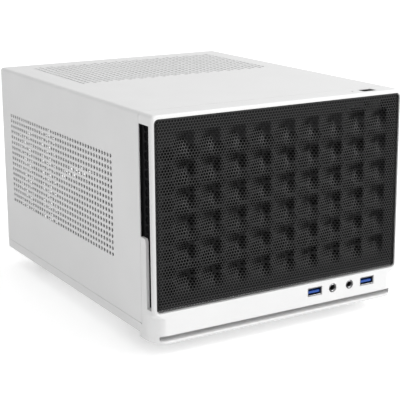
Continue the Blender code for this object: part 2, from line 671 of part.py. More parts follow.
def rear_connectors():
    """Four blocks of rear sockets behind the input-output shield."""
    made, holes = {}, []
    for name, (x, height) in STACKS.items():
        made[name] = boxes(name, [(x, STACK_DEPTH, (BOARD_TOP, height))], "bright_metal")
        holes.append((grown(x, GAP), around(REAR_DEPTH, 0.005), (BOARD_TOP - GAP, height + GAP)))
    shield_depth = (REAR_DEPTH + 0.0001, REAR_DEPTH + 0.0009)
    outline = (grown(APERTURE_X, -GAP), shield_depth, grown(APERTURE_Z, -GAP))
    shield = boxes("io_shield", [outline], "bright_metal")
    cut(shield, boxes("shield_holes", holes))

    face = STACK_DEPTH[1]
    audio_x = sum(STACKS["audio_stack"][0]) / 2
    for index in range(3):
        bore = circle((audio_x, BOARD_TOP + 0.0060 + index * AUDIO_PITCH), 0.0018, SMALL_ROUND)
        cut(made["audio_stack"], prism(f"audio_bore_{index}", bore, along_depth, face - 0.0140, face + 0.01))
    network_x = sum(STACKS["network_stack"][0]) / 2
    cut(made["network_stack"], boxes("network_mouth", [
        (around(network_x, 0.0059), (face - 0.0150, face + 0.01), around(NETWORK_Z, 0.0042))]))

    # Flat sockets with a tongue: (stack, height of the centre, half width, half height).
    sockets = [("network_stack", BOARD_TOP + 0.0042 + i * USB_PITCH, 0.0060, 0.0026) for i in range(2)]
    sockets += [("usb_stack", BOARD_TOP + 0.0044 + i * USB_PITCH, 0.0060, 0.0026) for i in range(4)]
    sockets += [("display_stack", BOARD_TOP + 0.0064 + i * 0.0110, 0.0073, 0.0024) for i in range(2)]
    for index, (name, z, half_x, half_z) in enumerate(sockets):
        x = sum(STACKS[name][0]) / 2
        mouth = (around(x, half_x), (face - 0.0125, face + 0.01), around(z, half_z))
        cut(made[name], boxes(f"socket_mouth_{index}", [mouth]))
        tongue = (around(x, half_x - 0.0008), (face - 0.0130, face - 0.0020), around(z + 0.0008, 0.0008))
        join(made[name], boxes(f"socket_tongue_{index}", [tongue]))


def memory():
    """Two memory sockets, each with an upright module in its groove."""
    half, centre_x = 0.0667, 0.0150
    width, height, lip, floor = 0.0065, 0.0070, 0.0023, 0.0020
    for index, depth in enumerate(MEMORY_DEPTHS):
        outline = [(0, 0), (width, 0), (width, height), (width - lip, height), (width - lip, floor),
                   (lip, floor), (lip, height), (0, height)]
        prism(f"memory_slot_{index + 1}", [(depth + a, BOARD_TOP + b) for a, b in outline], along_x,
              centre_x - half - 0.003, centre_x + half + 0.003, "black_plastic")
        module = (around(centre_x, half), (depth + lip + GAP, depth + width - lip - GAP),
                  (BOARD_TOP + floor + GAP, BOARD_TOP + floor + GAP + 0.0312))
        boxes(f"memory_module_{index + 1}", [module], "board_green")


def processor_and_cooler():
    """Socket, processor, and a low cooler: a finned block with a 92 mm fan blowing down on it."""
    x, depth = COOLER_CENTRE
    chip_foot = BOARD_TOP + SOCKET_HEIGHT + GAP
    foot = chip_foot + CHIP_HEIGHT + GAP
    socket = (around(x, 0.0225), around(depth, 0.0250), (BOARD_TOP, BOARD_TOP + SOCKET_HEIGHT))
    boxes("processor_socket", [socket], "black_plastic")
    boxes("processor", [(around(x, 0.0185), around(depth, 0.0185), (chip_foot, chip_foot + CHIP_HEIGHT))],
          "aluminium")

    half, base, fin, pitch, height = 0.0450, 0.0035, 0.0012, 0.0046, 0.0270
    count = int((2 * half - fin) / pitch) + 1
    start = x - ((count - 1) * pitch + fin) / 2
    outline = [(start, foot), (start + (count - 1) * pitch + fin, foot)]
    for index in reversed(range(count)):
        left = start + index * pitch
        outline += [(left + fin, foot + height), (left, foot + height)]
        if index:
            outline += [(left, foot + base), (left - pitch + fin, foot + base)]
    prism("cooler_heatsink", outline, along_depth, depth - half, depth + half, "aluminium")
    thickness = 0.015
    fan_top = foot + height + GAP + thickness
    fan("cooler_fan", lambda u, v, w: (x + u, y_at(depth) + v, fan_top - w), 0.092, thickness, 9, 0.0175)


# ---- internal cables -----------------------------------------------------------------------------
def cable(name, radius, route, points_per_leg=5):
    """Round cable through the given (x, depth, z) points, as a smooth curve with filled ends."""
    knots = [Vector((x, y_at(depth), z)) for x, depth, z in route]
    padded = [2 * knots[0] - knots[1]] + knots + [2 * knots[-1] - knots[-2]]
    smooth = []
    for a, b, c, d in zip(padded, padded[1:], padded[2:], padded[3:]):
        for step in range(points_per_leg):
            t = step / points_per_leg
            smooth.append(0.5 * (2 * b + (c - a) * t + (2 * a - 5 * b + 4 * c - d) * t ** 2
                                 + (3 * b - a - 3 * c + d) * t ** 3))
    smooth.append(knots[-1])
    curve = bpy.data.curves.new(name, "CURVE")
    curve.dimensions = "3D"
    curve.bevel_depth = radius
    curve.bevel_resolution = 2
    curve.use_fill_caps = True
    spline = curve.splines.new("POLY")
    spline.points.add(len(smooth) - 1)
    for point, place in zip(spline.points, smooth):
        point.co = (*place, 1)
    made = bpy.data.objects.new(name, curve)
    curve.materials.append(finish("cable_sleeve"))
    bpy.context.collection.objects.link(made)
    return made


def cables():
    cable("main_power_cable", 0.0050, [
        (0.062, 0.1490, 0.1105), (0.062, 0.1380, 0.1095), (0.072, 0.1240, 0.1000), (0.090, 0.1170, 0.0780),
        (0.0935, 0.1340, 0.0610), (0.093, 0.1640, 0.0560), (0.093, 0.1740, 0.0470), (0.093, 0.1750, 0.0382)])
    cable("front_panel_cable", 0.0025, [
        (0.055, 0.0252, 0.0320), (0.052, 0.0400, 0.0310), (0.030, 0.0640, 0.0250), (-0.020, 0.0860, 0.0215),
        (-0.062, 0.0980, 0.0250), (-0.0635, 0.1060, 0.0330), (-0.0635, 0.1180, 0.0330)])
    cable("drive_cable", 0.0018, [
        (0.040, 0.1470, 0.1120), (0.036, 0.1395, 0.1160), (0.006, 0.1385, 0.1360), (-0.036, 0.1380, 0.1540),
        (-0.064, 0.1240, 0.1600), (-0.078, 0.1040, 0.1560), (-0.068, 0.0960, 0.1528),
        (-0.0503, 0.0950, 0.1526)])


def build():
    for existing in list(bpy.data.objects):
        bpy.data.objects.remove(existing)
    front_bezel()
    front_mesh()
    mesh_frame()
    power_button()
    front_ports()
    base_pan()
    front_wall()
    rear_panel()
    top_rails()
    top_cover()
    thumbscrews()
    feet()
    slot_covers()
    drive_bracket()
    front_fan()
    power_supply()
    mainboard()
    cables()


build()
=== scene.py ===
"""Looks of the cube-format desktop computer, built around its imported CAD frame.

Metres, +Z up; the front faces -Y.
"""
import math

import bmesh
import bpy
import numpy as np
from mathutils import Matrix, Vector


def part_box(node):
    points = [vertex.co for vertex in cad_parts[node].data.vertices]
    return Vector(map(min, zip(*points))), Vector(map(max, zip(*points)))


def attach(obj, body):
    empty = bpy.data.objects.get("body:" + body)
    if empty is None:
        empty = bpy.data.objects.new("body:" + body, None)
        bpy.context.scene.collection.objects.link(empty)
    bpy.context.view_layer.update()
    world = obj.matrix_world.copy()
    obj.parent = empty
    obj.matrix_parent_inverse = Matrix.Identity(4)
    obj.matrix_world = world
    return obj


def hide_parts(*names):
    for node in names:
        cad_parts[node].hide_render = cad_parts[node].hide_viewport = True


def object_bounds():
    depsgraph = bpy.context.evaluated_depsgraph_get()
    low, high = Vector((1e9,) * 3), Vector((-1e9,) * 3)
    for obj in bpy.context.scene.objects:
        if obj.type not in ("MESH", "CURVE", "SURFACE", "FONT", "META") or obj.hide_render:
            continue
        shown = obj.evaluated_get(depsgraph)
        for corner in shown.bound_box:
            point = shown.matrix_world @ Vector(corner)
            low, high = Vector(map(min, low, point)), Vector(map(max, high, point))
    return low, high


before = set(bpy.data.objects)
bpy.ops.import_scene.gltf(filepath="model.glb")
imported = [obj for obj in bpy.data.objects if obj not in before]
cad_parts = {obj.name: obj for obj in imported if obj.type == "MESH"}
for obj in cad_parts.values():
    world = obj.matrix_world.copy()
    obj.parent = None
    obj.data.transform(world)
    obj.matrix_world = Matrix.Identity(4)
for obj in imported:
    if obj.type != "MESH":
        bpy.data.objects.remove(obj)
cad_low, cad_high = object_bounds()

GAP = 0.0003                # clearance between neighbouring pieces
SHEET = 0.0008              # folded steel
BEND = 0.003                # outer radius of the case's long top edges
LENS_RADIUS = 0.0009
BUTTON_LIP = 0.0006         # how far the button's flange stands out around its cap
FRONT = cad_low.y


# ---- materials -----------------------------------------------------------------------------------
def shade_of(colour, factor):
    return (*[channel * factor for channel in colour], 1)


def grey(value):
    return (value, value, value)


def material(name, colour, rough, metallic=0.0, vary=0.06, patch=0.004, grain=0.0003, bump=0.05,
             stretch=(1, 1, 1), coat=0.0, shine=0.5):
    """Painted, moulded or bare surface: patchy tone and roughness, and a fine bump grain.

    patch and grain are feature sizes in metres; stretch lengthens both along an axis, as brushing does.
    """
    made = bpy.data.materials.new(name)
    made.use_nodes = True
    nodes, links = made.node_tree.nodes, made.node_tree.links
    shader = nodes["Principled BSDF"]
    shader.inputs["Metallic"].default_value = metallic
    shader.inputs["Coat Weight"].default_value = coat
    shader.inputs["Specular IOR Level"].default_value = shine
    place = nodes.new("ShaderNodeTexCoord")
    mapping = nodes.new("ShaderNodeMapping")
    mapping.inputs["Scale"].default_value = [1 / s for s in stretch]
    links.new(place.outputs["Object"], mapping.inputs["Vector"])

    def noise(size, detail):
        texture = nodes.new("ShaderNodeTexNoise")
        texture.inputs["Scale"].default_value = 1 / size
        texture.inputs["Detail"].default_value = detail
        links.new(mapping.outputs["Vector"], texture.inputs["Vector"])
        return texture.outputs["Fac"]

    tone = noise(patch, 3)
    ramp = nodes.new("ShaderNodeValToRGB")
    for end, position, factor in ((0, 0.3, 1 - vary), (1, 0.7, 1 + vary)):
        ramp.color_ramp.elements[end].position = position
        ramp.color_ramp.elements[end].color = shade_of(colour, factor)
    links.new(tone, ramp.inputs["Fac"])
    links.new(ramp.outputs["Color"], shader.inputs["Base Color"])
    spread = nodes.new("ShaderNodeMapRange")
    spread.inputs["To Min"].default_value = rough * 0.88
    spread.inputs["To Max"].default_value = rough * 1.12
    links.new(tone, spread.inputs["Value"])
    links.new(spread.outputs["Result"], shader.inputs["Roughness"])

    relief = nodes.new("ShaderNodeBump")
    relief.inputs["Strength"].default_value = bump
    relief.inputs["Distance"].default_value = grain
    links.new(noise(grain, 2), relief.inputs["Height"])
    links.new(relief.outputs["Normal"], shader.inputs["Normal"])
    return made


WHITE_STEEL = material("white_powder_coat", grey(0.67), 0.50, vary=0.012, patch=0.03, grain=0.0005,
                       bump=0.10, shine=0.40)
WHITE_PLASTIC = material("white_moulding", grey(0.68), 0.42, vary=0.012, patch=0.02, grain=0.0004, shine=0.36)
BLACK_MESH = material("black_mesh_paint", grey(0.018), 0.34, vary=0.15, patch=0.003, bump=0.06, shine=0.54)
# black paint for the front wall; it is also painted shade, darkening what the front mesh's holes show
BLACK_STEEL_SHADE = material("black_paint_and_shade", (0.020, 0.020, 0.021), 0.45, vary=0.10, patch=0.01, grain=0.0004,
                       bump=0.10, shine=0.3)
BLACK_PLASTIC = material("black_moulding", (0.010, 0.010, 0.011), 0.48, vary=0.12, patch=0.006, bump=0.08,
                         shine=0.2)
BLACK_SATIN = material("black_satin", grey(0.006), 0.60, vary=0.15, patch=0.002, bump=0.08, shine=0.04)
# near-black filter cloth: a dust filter, and painted shade that darkens the view through the front mesh's
# holes
FILTER_CLOTH_SHADE = material("black_filter_and_shade", grey(0.004), 0.9, vary=0.3, patch=0.0008, grain=0.0004, bump=0.3, shine=0.1)
ZINC = material("zinc_plate", (0.56, 0.56, 0.58), 0.34, 1.0, vary=0.05, patch=0.006, grain=0.0002,
                stretch=(6, 1, 1))
NICKEL = material("nickel_plate", grey(0.80), 0.22, 1.0, vary=0.03, patch=0.002, bump=0.02)
TIN = material("tin_plate", (0.34, 0.34, 0.35), 0.30, 1.0, vary=0.05, patch=0.002, bump=0.03)
ALUMINIUM = material("aluminium", (0.54, 0.55, 0.57), 0.36, 1.0, vary=0.05, grain=0.00015, bump=0.08,
                     stretch=(1, 12, 1))
BRASS = material("brass", (0.75, 0.55, 0.22), 0.30, 1.0, patch=0.002, bump=0.04)
GOLD = material("gold_contact", (0.90, 0.66, 0.25), 0.25, 1.0, vary=0.05, patch=0.001, bump=0.02)
BLUE_PLASTIC = material("blue_moulding", (0.008, 0.070, 0.360), 0.40, patch=0.002, bump=0.03)
RUBBER = material("rubber", (0.022, 0.022, 0.023), 0.80, vary=0.12, patch=0.003, grain=0.0002, bump=0.25)
LENS = material("frosted_lens", (0.06, 0.06, 0.07), 0.35, vary=0.08, patch=0.001, bump=0.02, shine=0.2)
BOARD = material("solder_mask", (0.010, 0.013, 0.014), 0.40, vary=0.30, patch=0.0012, grain=0.0002,
                 stretch=(1, 5, 1), coat=0.3)
CHIP = material("chip_epoxy", (0.030, 0.030, 0.032), 0.55, vary=0.10, patch=0.002, bump=0.08)
CREAM_PLASTIC = material("cream_moulding", (0.62, 0.60, 0.55), 0.45, vary=0.03, patch=0.002, bump=0.03)
ROSE_PLASTIC = material("rose_moulding", (0.62, 0.16, 0.26), 0.40, vary=0.05, patch=0.002, bump=0.03)
LIME_PLASTIC = material("lime_moulding", (0.22, 0.52, 0.10), 0.40, vary=0.05, patch=0.002, bump=0.03)
SKY_PLASTIC = material("sky_moulding", (0.12, 0.34, 0.62), 0.40, vary=0.05, patch=0.002, bump=0.03)
AMBER_PLASTIC = material("amber_moulding", (0.72, 0.36, 0.05), 0.30, vary=0.05, patch=0.002, bump=0.03)
SLEEVE = material("braided_sleeve", (0.016, 0.016, 0.017), 0.70, vary=0.35, patch=0.0007, grain=0.0005,
                  bump=0.6)


# ---- places from the frame -----------------------------------------------------------------------
def middle(node, axes="xyz"):
    """Middle of a node's box, along the axes named."""
    low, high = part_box(node)
    return tuple((getattr(low, axis) + getattr(high, axis)) / 2 for axis in axes)


def half_size(node, axes="xyz"):
    low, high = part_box(node)
    return tuple((getattr(high, axis) - getattr(low, axis)) / 2 for axis in axes)


def along_x(a, b, height):
    return (height, a, b)


def along_y(a, b, height):
    return (a, height, b)


def along_z(a, b, height):
    return (a, b, height)


# ---- mesh helpers --------------------------------------------------------------------------------
def smoothed(obj, angle=35):
    obj.data.shade_smooth()
    obj.data.set_sharp_from_angle(angle=math.radians(angle))
    return obj


def linked(name, data, surface=None):
    made = bpy.data.objects.new(name, data)
    bpy.context.scene.collection.objects.link(made)
    if surface:
        data.materials.append(surface)
    return made


def new_object(name, mesh, surface=None):
    """Makes an object of a bmesh, with its faces pointing out."""
    bmesh.ops.recalc_face_normals(mesh, faces=mesh.faces)
    data = bpy.data.meshes.new(name)
    mesh.to_mesh(data)
    mesh.free()
    return linked(name, data, surface)


def settled(obj):
    """Applies the object's modifiers."""
    graph = bpy.context.evaluated_depsgraph_get()
    graph.update()
    final = bpy.data.meshes.new_from_object(obj.evaluated_get(graph), depsgraph=graph)
    obj.modifiers.clear()
    obj.data = final
    return obj


def thickened(obj, thickness, offset):
    """Gives a surface its thickness, to one side of it."""
    step = obj.modifiers.new("sheet", "SOLIDIFY")
    step.thickness = thickness
    step.offset = offset
    return settled(obj)


def carved(obj, *tools, operation="DIFFERENCE"):
    """Cuts tools out of an object, or joins them on, and removes the tools."""
    for tool in tools:
        step = obj.modifiers.new(tool.name, "BOOLEAN")
        step.operation = operation
        step.solver = "EXACT"
        step.object = tool
    settled(obj)
    for tool in tools:
        bpy.data.objects.remove(tool)
    return obj


def rounded(obj, width, segments=2, angle=32):
    """Rounds the object's sharp edges, and keeps its large faces flat in shading."""
    step = obj.modifiers.new("edge", "BEVEL")
    step.width = width
    step.segments = segments
    step.limit_method = "ANGLE"
    step.angle_limit = math.radians(angle)
    step.use_clamp_overlap = True
    smoothed(settled(obj), 40)
    shade = obj.modifiers.new("shade", "WEIGHTED_NORMAL")
    shade.keep_sharp = True
    return settled(obj)


def fitted(obj, slot, *nodes, body="chassis"):
    """Attaches a finished piece to its body, in place of the CAD nodes named; the slot is not used."""
    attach(obj, body)
    if nodes:
        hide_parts(*nodes)
    return obj


def gathered(name, mesh, surface, slot="bright_metal"):
    """Finished piece of the chassis, made of a bmesh that holds several shapes."""
    return fitted(smoothed(new_object(name, mesh, surface)), slot)


def add_block(mesh, low, high, radius=0.0, segments=1):
    """Adds a box between two corners, with its edges rounded."""
    low, high = Vector(low), Vector(high)
    place = Matrix.Translation((low + high) / 2) @ Matrix.Diagonal((*(high - low), 1))
    made = bmesh.ops.create_cube(mesh, size=1, matrix=place)
    if radius:
        edges = list({edge for vert in made["verts"] for edge in vert.link_edges})
        bmesh.ops.bevel(mesh, geom=edges, offset=radius, segments=segments, affect="EDGES",
                        clamp_overlap=True)


def add_bar(mesh, centre, half, place, ends, radius=0.0, segments=1):
    """Adds a box by its section's middle and half sizes, and its two ends along place's axis."""
    (a, b), (half_a, half_b), (low, high) = centre, half, ends
    add_block(mesh, place(a - half_a, b - half_b, low), place(a + half_a, b + half_b, high), radius, segments)


def blocks(name, spans, surface=None, radius=0.0, segments=1):
    """One object of several boxes, each (low corner, high corner)."""
    mesh = bmesh.new()
    for low, high in spans:
        add_block(mesh, low, high, radius, segments)
    return smoothed(new_object(name, mesh, surface))


def bar(name, centre, half, place, ends, surface=None, radius=0.0, segments=1):
    mesh = bmesh.new()
    add_bar(mesh, centre, half, place, ends, radius, segments)
    return smoothed(new_object(name, mesh, surface))


def circle(centre, radius, count=24, start=0.0):
    angles = [start + 2 * math.pi * i / count for i in range(count)]
    return [(centre[0] + radius * math.cos(a), centre[1] + radius * math.sin(a)) for a in angles]


def rounded_rectangle(centre, half_a, half_b, radius, steps=5):
    points = []
    for quarter, (sign_a, sign_b) in enumerate(((1, 1), (-1, 1), (-1, -1), (1, -1))):
        for step in range(steps + 1):
            angle = math.pi / 2 * (quarter + step / steps)
            points.append((centre[0] + sign_a * (half_a - radius) + radius * math.cos(angle),
                           centre[1] + sign_b * (half_b - radius) + radius * math.sin(angle)))
    return points


def add_prism(mesh, points, place, low, high):
    """Adds an extruded outline; place(a, b, height) gives world points."""
    bottom = [mesh.verts.new(place(a, b, low)) for a, b in points]
    top = [mesh.verts.new(place(a, b, high)) for a, b in points]
    mesh.faces.new(bottom)
    mesh.faces.new(top)
    for i in range(len(points)):
        j = (i + 1) % len(points)
        mesh.faces.new((bottom[i], bottom[j], top[j], top[i]))


def prisms(name, outlines, place, low, high, surface=None):
    mesh = bmesh.new()
    for points in outlines:
        add_prism(mesh, points, place, low, high)
    return smoothed(new_object(name, mesh, surface))


def add_skin(mesh, rings, capped=True):
    """Joins a row of vertex rings with faces, and closes its ends."""
    for low, high in zip(rings, rings[1:]):
        for i in range(len(low)):
            j = (i + 1) % len(low)
            mesh.faces.new((low[i], low[j], high[j], high[i]))
    if capped:
        mesh.faces.new(rings[0])
        mesh.faces.new(rings[-1])


def add_turned(mesh, profile, centre, place, count=32):
    """Adds a solid of revolution: profile is (radius, height) pairs, closed by flat ends."""
    centre = Vector(centre)
    add_skin(mesh, [[mesh.verts.new(Vector(place(a, b, height)) + centre)
                     for a, b in circle((0, 0), radius, count)] for radius, height in profile])


def turned(name, profile, centre, place, surface, count=32):
    mesh = bmesh.new()
    add_turned(mesh, profile, centre, place, count)
    return smoothed(new_object(name, mesh, surface), 30)


def lofted(name, levels, surface=None):
    """Skins a stack of plan outlines, each given as (z, outline)."""
    mesh = bmesh.new()
    add_skin(mesh, [[mesh.verts.new((a, b, z)) for a, b in outline] for z, outline in levels])
    return new_object(name, mesh, surface)


# ---- front bezel ---------------------------------------------------------------------------------
def plan_outline(half, front, corner, rear, steps=14):
    """Plan of a block whose two front corners are quarter ellipses."""
    right = []
    for i in range(steps + 1):
        angle = math.pi / 2 * i / steps
        right.append((half - corner[0] * (1 - math.sin(angle)), front + corner[1] * (1 - math.cos(angle))))
    return right + [(half, rear), (-half, rear)] + [(-x, y) for x, y in reversed(right)]


def bezel_block(low, high, chin_top, edge):
    """Outer shape of the bezel: rounded foot, chin with wide corners, frame and bent top."""
    chin_corner, frame_corner = (0.010, 0.017), (0.0022, 0.0022)
    foot_steps, bend_steps = 4, 8
    levels = []
    for step in range(foot_steps + 1):
        angle = math.pi / 2 * step / foot_steps
        inset = edge * (1 - math.sin(angle))
        levels.append((low.z + edge * (1 - math.cos(angle)),
                       plan_outline(high.x - inset, low.y + inset, chin_corner, high.y)))
    levels.append((chin_top - 0.0050, plan_outline(high.x, low.y, chin_corner, high.y)))
    levels.append((chin_top - 0.0006, plan_outline(high.x, low.y, frame_corner, high.y)))
    for step in range(bend_steps + 1):
        angle = math.pi / 2 * step / bend_steps
        inset = 1 - math.cos(angle)
        levels.append((high.z - BEND * (1 - math.sin(angle)),
                       plan_outline(high.x - BEND * inset, low.y + edge * inset, frame_corner, high.y)))
    return lofted("bezel", levels, WHITE_PLASTIC)


def front_bezel():
    """White moulded frame with mesh window, side air slots, port windows and finger groove."""
    low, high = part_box("front_bezel")
    half, plastic = high.x, 0.0024
    cover_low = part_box("top_cover")[0]
    mesh_low, mesh_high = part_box("front_mesh")
    chin_top = mesh_low.z - 0.00035
    bezel = bezel_block(low, high, chin_top, 0.0014)

    out, beyond, inner = low.y - 0.02, high.y + 0.02, half - plastic
    window = rounded_rectangle((0, (chin_top + mesh_high.z) / 2), mesh_high.x + 0.0003,
                               (mesh_high.z - chin_top) / 2 + 0.0003, 0.0034)
    ledge = low.y + 0.0017
    hollow = ((-inner, ledge - 0.0007, chin_top + 0.0015), (inner, beyond, high.z - 0.0032))
    behind = ((-half - 0.02, cover_low.y - GAP, cover_low.z - 2 * GAP), (half + 0.02, beyond, 0.2))
    chin = [(z, plan_outline(inner, low.y + 0.0025, (0.0076, 0.0145), beyond)) for z in (0.0204, chin_top)]
    groove_z, groove_y = (0.0140, 0.0180), low.y + 0.0080
    groove = rounded_rectangle((0, sum(groove_z) / 2), 0.1062, (groove_z[1] - groove_z[0]) / 2, 0.0012, 3)
    groove_back = ((-inner, groove_y + plastic, 0.0137), (inner, beyond, 0.0210))
    carved(bezel, blocks("behind", [behind]), prisms("window", [window], along_y, out, ledge),
           blocks("hollow", [hollow]), lofted("chin", chin), blocks("groove_back", [groove_back]),
           prisms("groove", [groove], along_y, out, groove_y))

    slot_front, slot_step_y = low.y + 0.0051, low.y + 0.0122
    slot_foot, slot_step, slot_top = 0.0369, 0.0896, 0.1729
    slot = [(slot_front, slot_foot), (slot_step_y, slot_foot), (slot_step_y, slot_step - 0.0022),
            (slot_step_y + 0.0012, slot_step), (beyond, slot_step), (beyond, slot_top),
            (slot_front, slot_top)]
    slots, windows = bmesh.new(), bmesh.new()
    add_prism(slots, slot, along_x, -half - 0.01, -half + 0.004)
    add_prism(slots, slot, along_x, half - 0.004, half + 0.01)
    for node in ("usb_port_left", "usb_port_right"):
        half_x, half_z = half_size(node, "xz")
        outline = rounded_rectangle(middle(node, "xz"), half_x + GAP, half_z + GAP, 0.0006, 3)
        add_prism(windows, outline, along_y, out, ledge + 0.004)
    for node in ("audio_jack_left", "audio_jack_right"):
        outline = circle(middle(node, "xz"), half_size(node)[0] + GAP, 32)
        add_prism(windows, outline, along_y, out, ledge + 0.004)
    lip = BUTTON_LIP - GAP
    half_x, half_y = half_size("power_button", "xy")
    button = rounded_rectangle(middle("power_button", "xy"), half_x - lip, half_y - lip, 0.0008, 4)
    lens = circle(middle("indicator_lens", "xy"), LENS_RADIUS + GAP, 24)
    for outline in (button, lens):
        add_prism(windows, outline, along_z, high.z - 0.01, high.z + 0.01)
    carved(bezel, new_object("side_slots", slots), new_object("small_windows", windows))
    rounded(bezel, 0.0003, 2, 38)
    fitted(bezel, "white_plastic", "front_bezel", body="front_panel")


# ---- front mesh ----------------------------------------------------------------------------------
DIMPLES = (9, 6)
DIMPLE_PITCH = (0.0217, 0.0204)
DIMPLE_EDGES = (-0.0098, 0.0102, -0.0090, 0.0100)    # left, right, bottom, top, from a cell's middle
DIMPLE_SLOPES = (0.0130, 0.0046, 0.0120, 0.0066)     # lengths, in the same order
DIMPLE_DEPTH = 0.0042
MESH_PITCH = 0.00240
MESH_HOLE = 0.00113
MESH_SHEET = 0.0004


def slope(value):
    """Rise from 0 to 1 over a unit length: nearly straight, with a softened fold at both ends."""
    value = np.clip(value, 0, 1)
    return value * (0.6 + 0.4 * value * (3 - 2 * value))


def dimple_depth(x, z, centre_z):
    """How far the mesh is pressed in at a point: in each cell of the grid a bowl with long slopes on the
    left and at the bottom, and short ones on the right and at the top."""
    column = x / DIMPLE_PITCH[0] + DIMPLES[0] / 2
    row = (z - centre_z) / DIMPLE_PITCH[1] + DIMPLES[1] / 2
    inside = (column > 0) & (column < DIMPLES[0]) & (row > 0) & (row < DIMPLES[1])
    across = (column - np.floor(column) - 0.5) * DIMPLE_PITCH[0]
    up = (row - np.floor(row) - 0.5) * DIMPLE_PITCH[1]
    left, right, bottom, top = DIMPLE_EDGES
    shape = np.minimum(slope((right - across) / DIMPLE_SLOPES[1]), slope((top - up) / DIMPLE_SLOPES[3]))
    shape *= slope((across - left) / DIMPLE_SLOPES[0]) * slope((up - bottom) / DIMPLE_SLOPES[2])
    return np.where(inside, shape, 0) * DIMPLE_DEPTH


def mesh_half(low, high, right):
    """Points and faces of the left or the right half of the perforated sheet, still flat."""
    row_pitch, corner = MESH_PITCH * math.sqrt(3) / 2, MESH_PITCH / math.sqrt(3)
    columns = int((high.x - low.x) / MESH_PITCH) - 1
    rows = int((high.z - low.z) / row_pitch) - 1
    turns = [math.radians(30 + 60 * i) for i in range(6)]
    verts, faces, index = [], [], {}

    def corner_index(x, z):
        key = (round(x / (MESH_PITCH / 4)), round(z / (row_pitch / 6)))
        if key not in index:
            index[key] = len(verts)
            verts.append((x, z))
        return index[key]

    for row in range(rows):
        z = (low.z + high.z) / 2 + (row - (rows - 1) / 2) * row_pitch
        shift = 0.25 if row % 2 else -0.25
        for column in range(columns):
            x = (column - (columns - 1) / 2 + shift) * MESH_PITCH
            if (x > 0) != right:
                continue
            outer = [corner_index(x + corner * math.cos(t), z + corner * math.sin(t)) for t in turns]
            start = len(verts)
            verts += [(x + MESH_HOLE * math.cos(t), z + MESH_HOLE * math.sin(t)) for t in turns]
            for i in range(6):
                j = (i + 1) % 6
                faces.append((outer[i], outer[j], start + j, start + i))
    return np.array(verts), faces


def front_mesh():
    """Perforated steel in a triangular lattice of holes, pressed into a grid of square dimples."""
    low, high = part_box("front_mesh")
    centre_z = (low.z + high.z) / 2
    for side in ("left", "right"):
        flat, faces = mesh_half(low, high, side == "right")
        depth = low.y + 0.0003 + dimple_depth(flat[:, 0], flat[:, 1], centre_z)
        data = bpy.data.meshes.new(f"mesh_{side}")
        data.from_pydata(np.column_stack([flat[:, 0], depth, flat[:, 1]]).tolist(), [], faces)
        sheet = linked(f"mesh_{side}", data, BLACK_MESH)
        thickened(sheet, MESH_SHEET, -1 if data.polygons[0].normal.y < 0 else 1)
        replaced = ["front_mesh"] if side == "left" else []
        fitted(sheet, "black_steel", *replaced, body="front_panel")

    half = (high.x - GAP / 2, (high.z - low.z) / 2 - GAP / 2)
    band = 0.0008
    outline = rounded_rectangle((0, centre_z), *half, 0.0032)
    rim = prisms("mesh_rim", [outline], along_y, low.y + 0.0001, low.y + 0.0011, BLACK_MESH)
    opening = rounded_rectangle((0, centre_z), half[0] - band, half[1] - band, 0.0024)
    carved(rim, prisms("opening", [opening], along_y, low.y - 0.01, low.y + 0.01))
    fitted(rounded(rim, 0.0002, 1), "black_steel", body="front_panel")


def honeycomb_outlines(low_a, high_a, low_b, high_b, pitch, wall):
    """Hexagons that fit whole inside a rectangle, at the given pitch, with a wall between neighbours."""
    radius = (pitch - wall) / math.sqrt(3)
    step_a, step_b = pitch * math.sqrt(3) / 2, pitch
    count_a = int((high_a - low_a - 2 * radius) / step_a) + 1
    count_b = int((high_b - low_b - 2 * radius) / step_b) + 1
    found = []
    for i in range(count_a):
        for j in range(count_b):
            a = (low_a + high_a) / 2 + (i - (count_a - 1) / 2) * step_a
            b = (low_b + high_b) / 2 + (j - (count_b - 1) / 2) * step_b
            found.append(circle((a, b + step_b * (0.25 if i % 2 else -0.25)), radius, 6))
    return found


